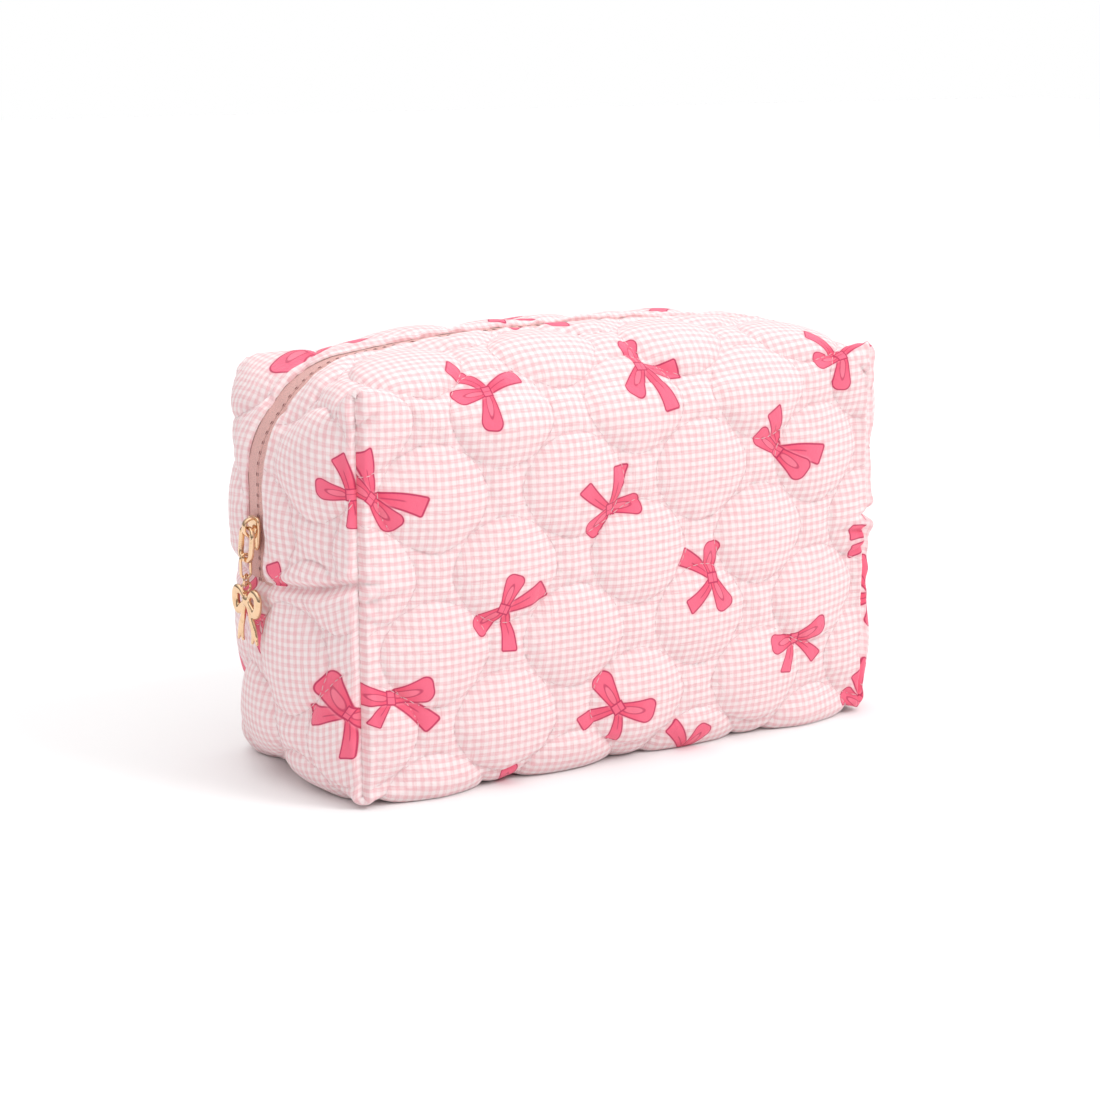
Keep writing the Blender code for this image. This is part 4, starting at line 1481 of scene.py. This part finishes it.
class MAKEUPBAG_OT_quilting(bpy.types.Operator):
    """Adds the stitches of the quilting, outside and inside"""

    bl_idname = "makeup_bag.quilting"
    bl_label = "Quilting Stitches"

    def execute(self, context):
        settings = settings_of(context)
        thread = shared("thread", lambda: nylon("thread", srgb("F3CFD3")))
        outside = cloth_surface(settings)
        inside = lining_surface(settings)
        lining_inner = inside.at_depth(lining_depth(inside.from_zip()) + LINING_THICKNESS)
        layers = (("", outside, outside.outer, outside.normal, 0.00002),
                  ("_inside", inside, lining_inner, -inside.normals_of(lining_inner), 0.0001))
        for label, surface, points, normals, lift in layers:
            for half, side in HALVES:
                lines = quilting_lines(surface, side, points, normals, lift)
                piece = repeat_along(f"stitches{label}_{half}", lines, repeater(), thread,
                                     Pitch=settings.stitch_pitch, Length=settings.stitch_length,
                                     Width=settings.thread, Height=settings.thread * 1.2,
                                     Seed=settings.seed, Uneven=1.0)
                follow_jaw(piece)
        return {"FINISHED"}


class MAKEUPBAG_OT_zip(bpy.types.Operator):
    """Adds the zip's two tapes with their teeth, and dark bars of painted shade in the gaps
    between the teeth
    """

    bl_idname = "makeup_bag.zip"
    bl_label = "Zip"

    def execute(self, context):
        settings = settings_of(context)
        cloth = shared("tape", lambda: tape_cloth(tuple(settings.tape)))
        # The dark material is painted shade, for the gaps between the teeth.
        dark = shared("painted_gap_shade", lambda: nylon("painted_gap_shade", srgb("93605F")))
        rose = shared("rose_teeth", lambda: nylon("rose_teeth", srgb("C99A98")))
        course = zip_course(0.0010, TAPE_BELOW_SEAM)
        distance = course[2]
        offsets = TAPE_OFFSETS
        swell = ridge(offsets, 0.0012, 0.0009) * 0.00035
        groove = ridge(offsets, 0.0031, 0.0004) * 0.00012
        depth = TAPE_DEPTH - swell + groove
        for half, side in HALVES:
            outer = course_grid(course, side * offsets, depth)
            inner = course_grid(course, side * offsets, depth + TAPE_THICKNESS)
            places = np.stack(np.broadcast_arrays(distance[:, None], side * offsets[None]), -1)
            tape = slab(f"zip_tape_{half}", outer, inner, cloth, places)
            follow_jaw(tape)
            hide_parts(f"{half}_zip_tape")
            marks = repeat_along(f"zip_marks_{half}", [zip_line(course, side, *MARKS)],
                                 repeater(), dark,
                                 Pitch=settings.tooth_pitch, Length=0.0016, Width=0.0005,
                                 Height=0.0004, Seed=settings.seed, Uneven=1.5)
            follow_jaw(marks)
            coil = repeat_along(f"zip_coil_{half}", [zip_line(course, side, *COIL)],
                                repeater(), rose,
                                Pitch=settings.tooth_pitch / 3, Length=0.0024, Width=0.0008,
                                Height=0.0009, Turn=math.pi / 2, Seed=settings.seed, Uneven=0.0)
            follow_jaw(coil)
            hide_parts(f"{half}_zip_coil")
        return {"FINISHED"}


class MAKEUPBAG_OT_bindings(bpy.types.Operator):
    """Adds the folded tapes over the raw seams inside the bag"""

    bl_idname = "makeup_bag.bindings"
    bl_label = "Inside Bindings"

    def execute(self, context):
        settings = settings_of(context)
        cloth = shared("binding", lambda: plain_cloth("binding_cotton", srgb("EDC9C8"), 0.0006))
        course = zip_course(0.0020)
        offsets = np.linspace(0.0080, 0.0140, 7)
        bulge = 0.0003 * np.sin(np.linspace(0, math.pi, 7))
        outer_depth = lining_depth(offsets) + 0.0007
        for half, side in HALVES:
            outer = course_grid(course, side * offsets, outer_depth)
            inner = course_grid(course, side * offsets, outer_depth + 0.0008 + bulge)
            places = np.stack(np.broadcast_arrays(course[2][:, None], offsets[None]), -1)
            strip = slab(f"zip_binding_{half}", outer, inner, cloth, places)
            follow_jaw(strip)
            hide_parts(f"{half}_zip_binding")
            for end, end_name in ((-1, "left"), (1, "right")):
                post = corner_binding(f"corner_binding_{half}_{end_name}", end, side, cloth)
                follow_jaw(post)
                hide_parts(*[f"{level}_{half}_{end_name}_corner_binding"
                                    for level in ("lower", "upper")])
        for end, end_name in ((-1, "left"), (1, "right")):
            bar = end_binding(f"end_binding_{end_name}", end, cloth)
            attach(bar, "lower")
            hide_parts(f"{end_name}_end_seam_binding")
        return {"FINISHED"}


def folded_tape(name, course, inward, sideways, reach, material):
    """A rounded tongue of tape standing inward along a course."""
    count = len(course)
    half = BINDING_THICKNESS / 2
    section = [(0.0, half)]
    for angle in np.linspace(0, math.pi, 7):
        section.append((reach - half + half * math.sin(angle), half * math.cos(angle)))
    section.append((0.0, -half))
    rings = np.array([[course[k] + inward[k] * a + sideways[k] * b for a, b in section]
                      for k in range(count)])
    size = len(section)
    faces = [(k * size + s, k * size + (s + 1) % size, (k + 1) * size + (s + 1) % size,
              (k + 1) * size + s) for k in range(count - 1) for s in range(size)]
    mesh = bmesh.new()
    verts = [mesh.verts.new(point) for point in rings.reshape(-1, 3)]
    for face in faces:
        mesh.faces.new([verts[i] for i in face])
    mesh.faces.new(verts[:size][::-1])
    mesh.faces.new(verts[-size:])
    bmesh.ops.recalc_face_normals(mesh, faces=mesh.faces)
    return solid_piece(name, mesh, Matrix.Identity(4), material)


def corner_binding(name, end, side, material):
    """The tape over a corner's raw seam, from the floor of the bag to the top."""
    w = np.linspace(-0.88, 0.86, BINDING_STEPS)
    course = inner_point(end + 0 * w, side + 0 * w, w, BINDING_ROOT + 0 * w)
    inward = np.tile((-end * 0.5, -side * 1.0, 0), (len(w), 1)) / math.hypot(0.5, 1.0)
    sideways = np.stack([inward[:, 1], -inward[:, 0], inward[:, 2]], -1)
    return folded_tape(name, course, inward, sideways, CORNER_BINDING_REACH, material)


def end_binding(name, end, material):
    """The tape over the raw seam across an end, inside."""
    v = np.linspace(-0.86, 0.86, BINDING_STEPS)
    course = inner_point(end + 0 * v, v, split_level(v), BINDING_ROOT + 0 * v)
    inward = np.tile((-float(end), 0, 0), (len(v), 1))
    sideways = np.tile((0, 0, 1.0), (len(v), 1))
    return folded_tape(name, course, inward, sideways, END_BINDING_REACH, material)


class MAKEUPBAG_OT_slider(bpy.types.Operator):
    """Adds the zip's slider and the frame that pulls it"""

    bl_idname = "makeup_bag.slider"
    bl_label = "Slider and Pull"

    def execute(self, context):
        metal = gold(settings_of(context))
        low, high = (Vector(corner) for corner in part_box("slider_body"))
        place = (-END_X, 0, (low.z + high.z) / 2)
        size = np.array((SLIDER_HALF_WIDTH, SLIDER_HALF_HEIGHT))
        shield = smooth_outline(np.array(SLIDER_SHIELD) * size, True, 4)
        mesh = bmesh.new()
        add_plate(mesh, shield * (1, 1.32) - (0, 0.0016), 0.0004, 0.0017, 0.0005)
        add_plate(mesh, shield * 0.94, -0.0036, -0.0026, 0.0004)
        add_plate(mesh, SLIDER_WEB, -0.0030, 0.0008, 0.0001, 1)
        slider = solid_piece("slider", mesh, facing_out(place, math.pi), metal)
        mesh = bmesh.new()
        add_band(mesh, smooth_outline(CROWN_ARCH, False, 5), 0.00055, 0.00125, False, 14, 0.6)
        side_on = Matrix(((-1, 0, 0), (0, 0, 1), (0, 1, 0))).to_4x4()
        crown = solid_piece("crown", mesh, Matrix.Translation(place) @ side_on, metal)
        slider = join_objects(slider, crown)
        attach(slider, "slider")
        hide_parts("slider_body")
        pull = pull_frame(metal)
        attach(pull, "pull")
        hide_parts("pull_frame")
        return {"FINISHED"}


def join_objects(first, *others):
    """One mesh from several, in the shared frame."""
    mesh = bmesh.new()
    for obj in (first, *others):
        mesh.from_mesh(obj.data)
    mesh.to_mesh(first.data)
    mesh.free()
    for obj in others:
        bpy.data.objects.remove(obj, do_unlink=True)
    shade_smooth(first.data)
    return first


def circle(radius, count):
    angles = np.linspace(0, 2 * math.pi, count, endpoint=False)
    return np.stack([radius * np.cos(angles), radius * np.sin(angles)], -1)


def rounded_rectangle(width, low, high, radius, steps=7):
    points = []
    half = width / 2
    for s, t, start in ((half, high, 0), (-half, high, 1), (-half, low, 2), (half, low, 3)):
        centre = (s - math.copysign(radius, s), t - radius if t == high else t + radius)
        for step in range(steps + 1):
            angle = (start + step / steps) * math.pi / 2
            points.append((centre[0] + radius * math.cos(angle),
                           centre[1] + radius * math.sin(angle)))
    return np.array(points)


def pull_frame(metal):
    """The open frame that hangs from the slider's crown."""
    top = PULL_TOP / 2
    low = top - PULL_HEIGHT
    line = rounded_rectangle(PULL_WIDTH - PULL_SIDE, low + PULL_SIDE / 2, top - PULL_TOP / 2,
                             PULL_CORNER)
    upper = smooth((line[:, 1] - (top - PULL_CORNER)) / 0.0020)
    half_width = PULL_SIDE / 2 - (PULL_SIDE - PULL_TOP) / 2 * upper
    mesh = bmesh.new()
    add_band(mesh, line, half_width, 0.00095 - 0.00025 * upper, True, 16, 0.62)
    lean = Matrix.Rotation(math.radians(6), 4, "Y")
    place = Matrix.Translation(joint_place("pull_swing")) @ lean
    return solid_piece("pull", mesh, place @ facing_out((0, 0, 0), math.pi), metal)


class MAKEUPBAG_OT_charm(bpy.types.Operator):
    """Adds the link, the ring and the bow charm that hang from the pull"""

    bl_idname = "makeup_bag.charm"
    bl_label = "Chain and Bow Charm"

    def execute(self, context):
        metal = gold(settings_of(context))
        upper, lower = joint_place("link_swing"), joint_place("ring_swing")
        line = circle(LINK_WIDTH / 2 - LINK_WIRE, 48)
        line[:, 1] += np.where(line[:, 1] >= 0, LINK_STRAIGHT, -LINK_STRAIGHT)
        mesh = bmesh.new()
        add_band(mesh, line, LINK_WIRE, LINK_WIRE, True, 12, 1.0)
        link = solid_piece("link", mesh, facing_out((upper + lower) / 2, -math.pi / 2), metal)
        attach(link, "link")
        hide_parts("oval_link")
        hang = joint_place("charm_swing")
        radius = RING_WIDTH / 2 - RING_WIRE
        mesh = bmesh.new()
        add_band(mesh, circle(radius, 48), RING_WIRE, RING_WIRE, True, 12, 1.0)
        turn = -math.pi / 2 + math.radians(45)
        ring = solid_piece("ring", mesh, facing_out(hang + Vector((0, 0, radius)), turn), metal)
        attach(ring, "ring")
        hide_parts("jump_ring")
        charm = bow_charm(hang, metal)
        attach(charm, "charm")
        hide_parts("bow_charm")
        return {"FINISHED"}


def bow_charm(hang, metal):
    """A cast bow with open loops and drooping tails, and an eyelet behind its knot."""
    mesh = bmesh.new()
    (start_x, start_y), (bend_x, bend_y), (tip_x, tip_y) = CHARM_TAIL
    spine_points = np.array([(start_x, start_y),
                             ((start_x + bend_x) / 2 + 0.3, (start_y + bend_y) / 2),
                             (bend_x, bend_y),
                             ((bend_x + tip_x) / 2 + 0.35, (bend_y + tip_y) / 2),
                             (tip_x, tip_y)]) / 1000
    for sign in (-1, 1):
        line = smooth_outline(np.array(CHARM_LOOP) / 1000 * (sign, 1), True, 6)
        distance = np.abs(line[:, 0]) * 1000
        half_width = (0.85 + 1.05 * smooth((distance - 1.5) / 4.6)) / 1000
        add_band(mesh, line, half_width, 0.00085 + 0.00035 * smooth((distance - 1) / 5), True,
                 14, 0.8)
        spine = smooth_outline(spine_points * (sign, 1), False, 6)
        share = np.linspace(0, 1, len(spine))
        add_band(mesh, spine, (0.75 + 1.30 * share) / 1000, (0.95 - 0.25 * share) / 1000,
                 False, 14, 0.8)
        for spread in (-1, 1):
            prong = np.array([(tip_x * sign + spread * x, tip_y + y)
                              for x, y in CHARM_TIP]) / 1000
            add_band(mesh, smooth_outline(prong, False, 4), np.linspace(1.1, 0.45, 9) / 1000,
                     np.linspace(0.75, 0.5, 9) / 1000, False, 12, 0.8)
    add_ball(mesh, (0, 0, 0), (0.0021, 0.0024, 0.0016))
    ring = bmesh.new()
    add_band(ring, circle(EYELET_RADIUS, 32), EYELET_WIRE, EYELET_WIRE, True, 10, 1.0)
    edge_on = Matrix.Rotation(math.pi / 2, 4, "Y")
    ring.transform(Matrix.Translation((0, EYELET_HEIGHT, 0)) @ edge_on)
    joined = bpy.data.meshes.new("eyelet")
    ring.to_mesh(joined)
    ring.free()
    mesh.from_mesh(joined)
    place = hang - Vector((0, 0, EYELET_HEIGHT + 0.00055))
    charm = solid_piece("charm", mesh, facing_out(place, math.pi + math.radians(6)), metal)
    return cast(charm, 0.00020, 0.45)


def aim(obj, place, direction):
    """Puts a lamp or a camera in its place and turns it along a direction."""
    obj.location = place
    obj.rotation_euler = direction.to_track_quat("-Z", "Y").to_euler()


class MAKEUPBAG_OT_stage(bpy.types.Operator):
    """Adds the pale floor, the soft studio light and the camera"""

    bl_idname = "makeup_bag.stage"
    bl_label = "Stage"

    def execute(self, context):
        scene = context.scene
        corners = np.array([(-1, -1, 0), (1, -1, 0), (1, 1, 0), (-1, 1, 0)], float)
        floor = mesh_object("floor", corners * FLOOR_REACH, [(0, 1, 2, 3)], [stage_paint()])
        world = bpy.data.worlds.new("studio")
        world.use_nodes = True
        scene.world = world
        graph = Graph(world.node_tree)
        seen = graph.value(graph.node("ShaderNodeLightPath"))
        height = graph.split(graph.node("ShaderNodeTexCoord").outputs["Generated"])[2]
        sky = graph.maths("POWER", height.most(0.0), 1.5) * SKY + AMBIENT
        graph.fill(world.node_tree.nodes["Background"],
                   {"Color": (1, 1, 1, 1), "Strength": sky + (1.0 - sky) * seen})
        lamp = bpy.data.lights.new("key", "AREA")
        lamp.shape = "DISK"
        lamp.size, lamp.energy = KEY_SIZE, KEY_POWER
        aim(in_scene("key", lamp), Vector(KEY_PLACE), Vector(KEY_TARGET) - Vector(KEY_PLACE))
        azimuth, elevation = math.radians(CAMERA_AZIMUTH), math.radians(CAMERA_ELEVATION)
        back = Vector((math.sin(azimuth) * math.cos(elevation),
                       -math.cos(azimuth) * math.cos(elevation), math.sin(elevation)))
        camera = bpy.data.cameras.new("camera")
        camera.lens, camera.sensor_width = CAMERA_LENS, 36.0
        camera.clip_start, camera.clip_end = 0.05, 30
        obj = in_scene("camera", camera)
        aim(obj, Vector(CAMERA_TARGET) + back * CAMERA_DISTANCE, -back)
        scene.camera = obj
        scene.view_settings.view_transform = "Standard"
        return {"FINISHED"}


class MAKEUPBAG_PT_panel(bpy.types.Panel):
    """The bag's sizes, colours and steps, in the 3D view's sidebar"""

    bl_label = "Makeup Bag"
    bl_idname = "MAKEUPBAG_PT_panel"
    bl_space_type = "VIEW_3D"
    bl_region_type = "UI"
    bl_category = "Makeup Bag"

    def draw(self, context):
        layout = self.layout
        settings = settings_of(context)
        for name in MakeupBagSettings.__annotations__:
            layout.prop(settings, name)
        for operator in OPERATORS:
            layout.operator(operator.bl_idname)


OPERATORS = (
    MAKEUPBAG_OT_quilted_cloth,
    MAKEUPBAG_OT_lining,
    MAKEUPBAG_OT_quilting,
    MAKEUPBAG_OT_zip,
    MAKEUPBAG_OT_bindings,
    MAKEUPBAG_OT_slider,
    MAKEUPBAG_OT_charm,
    MAKEUPBAG_OT_stage,
)
CLASSES = (MakeupBagSettings, *OPERATORS, MAKEUPBAG_PT_panel)


def register():
    for cls in CLASSES:
        bpy.utils.register_class(cls)
    bpy.types.Scene.makeup_bag = PointerProperty(type=MakeupBagSettings)


def unregister():
    del bpy.types.Scene.makeup_bag
    for cls in reversed(CLASSES):
        bpy.utils.unregister_class(cls)


def main():
    register()
    bpy.ops.makeup_bag.quilted_cloth()
    bpy.ops.makeup_bag.lining()
    bpy.ops.makeup_bag.quilting()
    bpy.ops.makeup_bag.zip()
    bpy.ops.makeup_bag.bindings()
    bpy.ops.makeup_bag.slider()
    bpy.ops.makeup_bag.charm()
    bpy.ops.makeup_bag.stage()


if __name__ == "__main__":
    main()
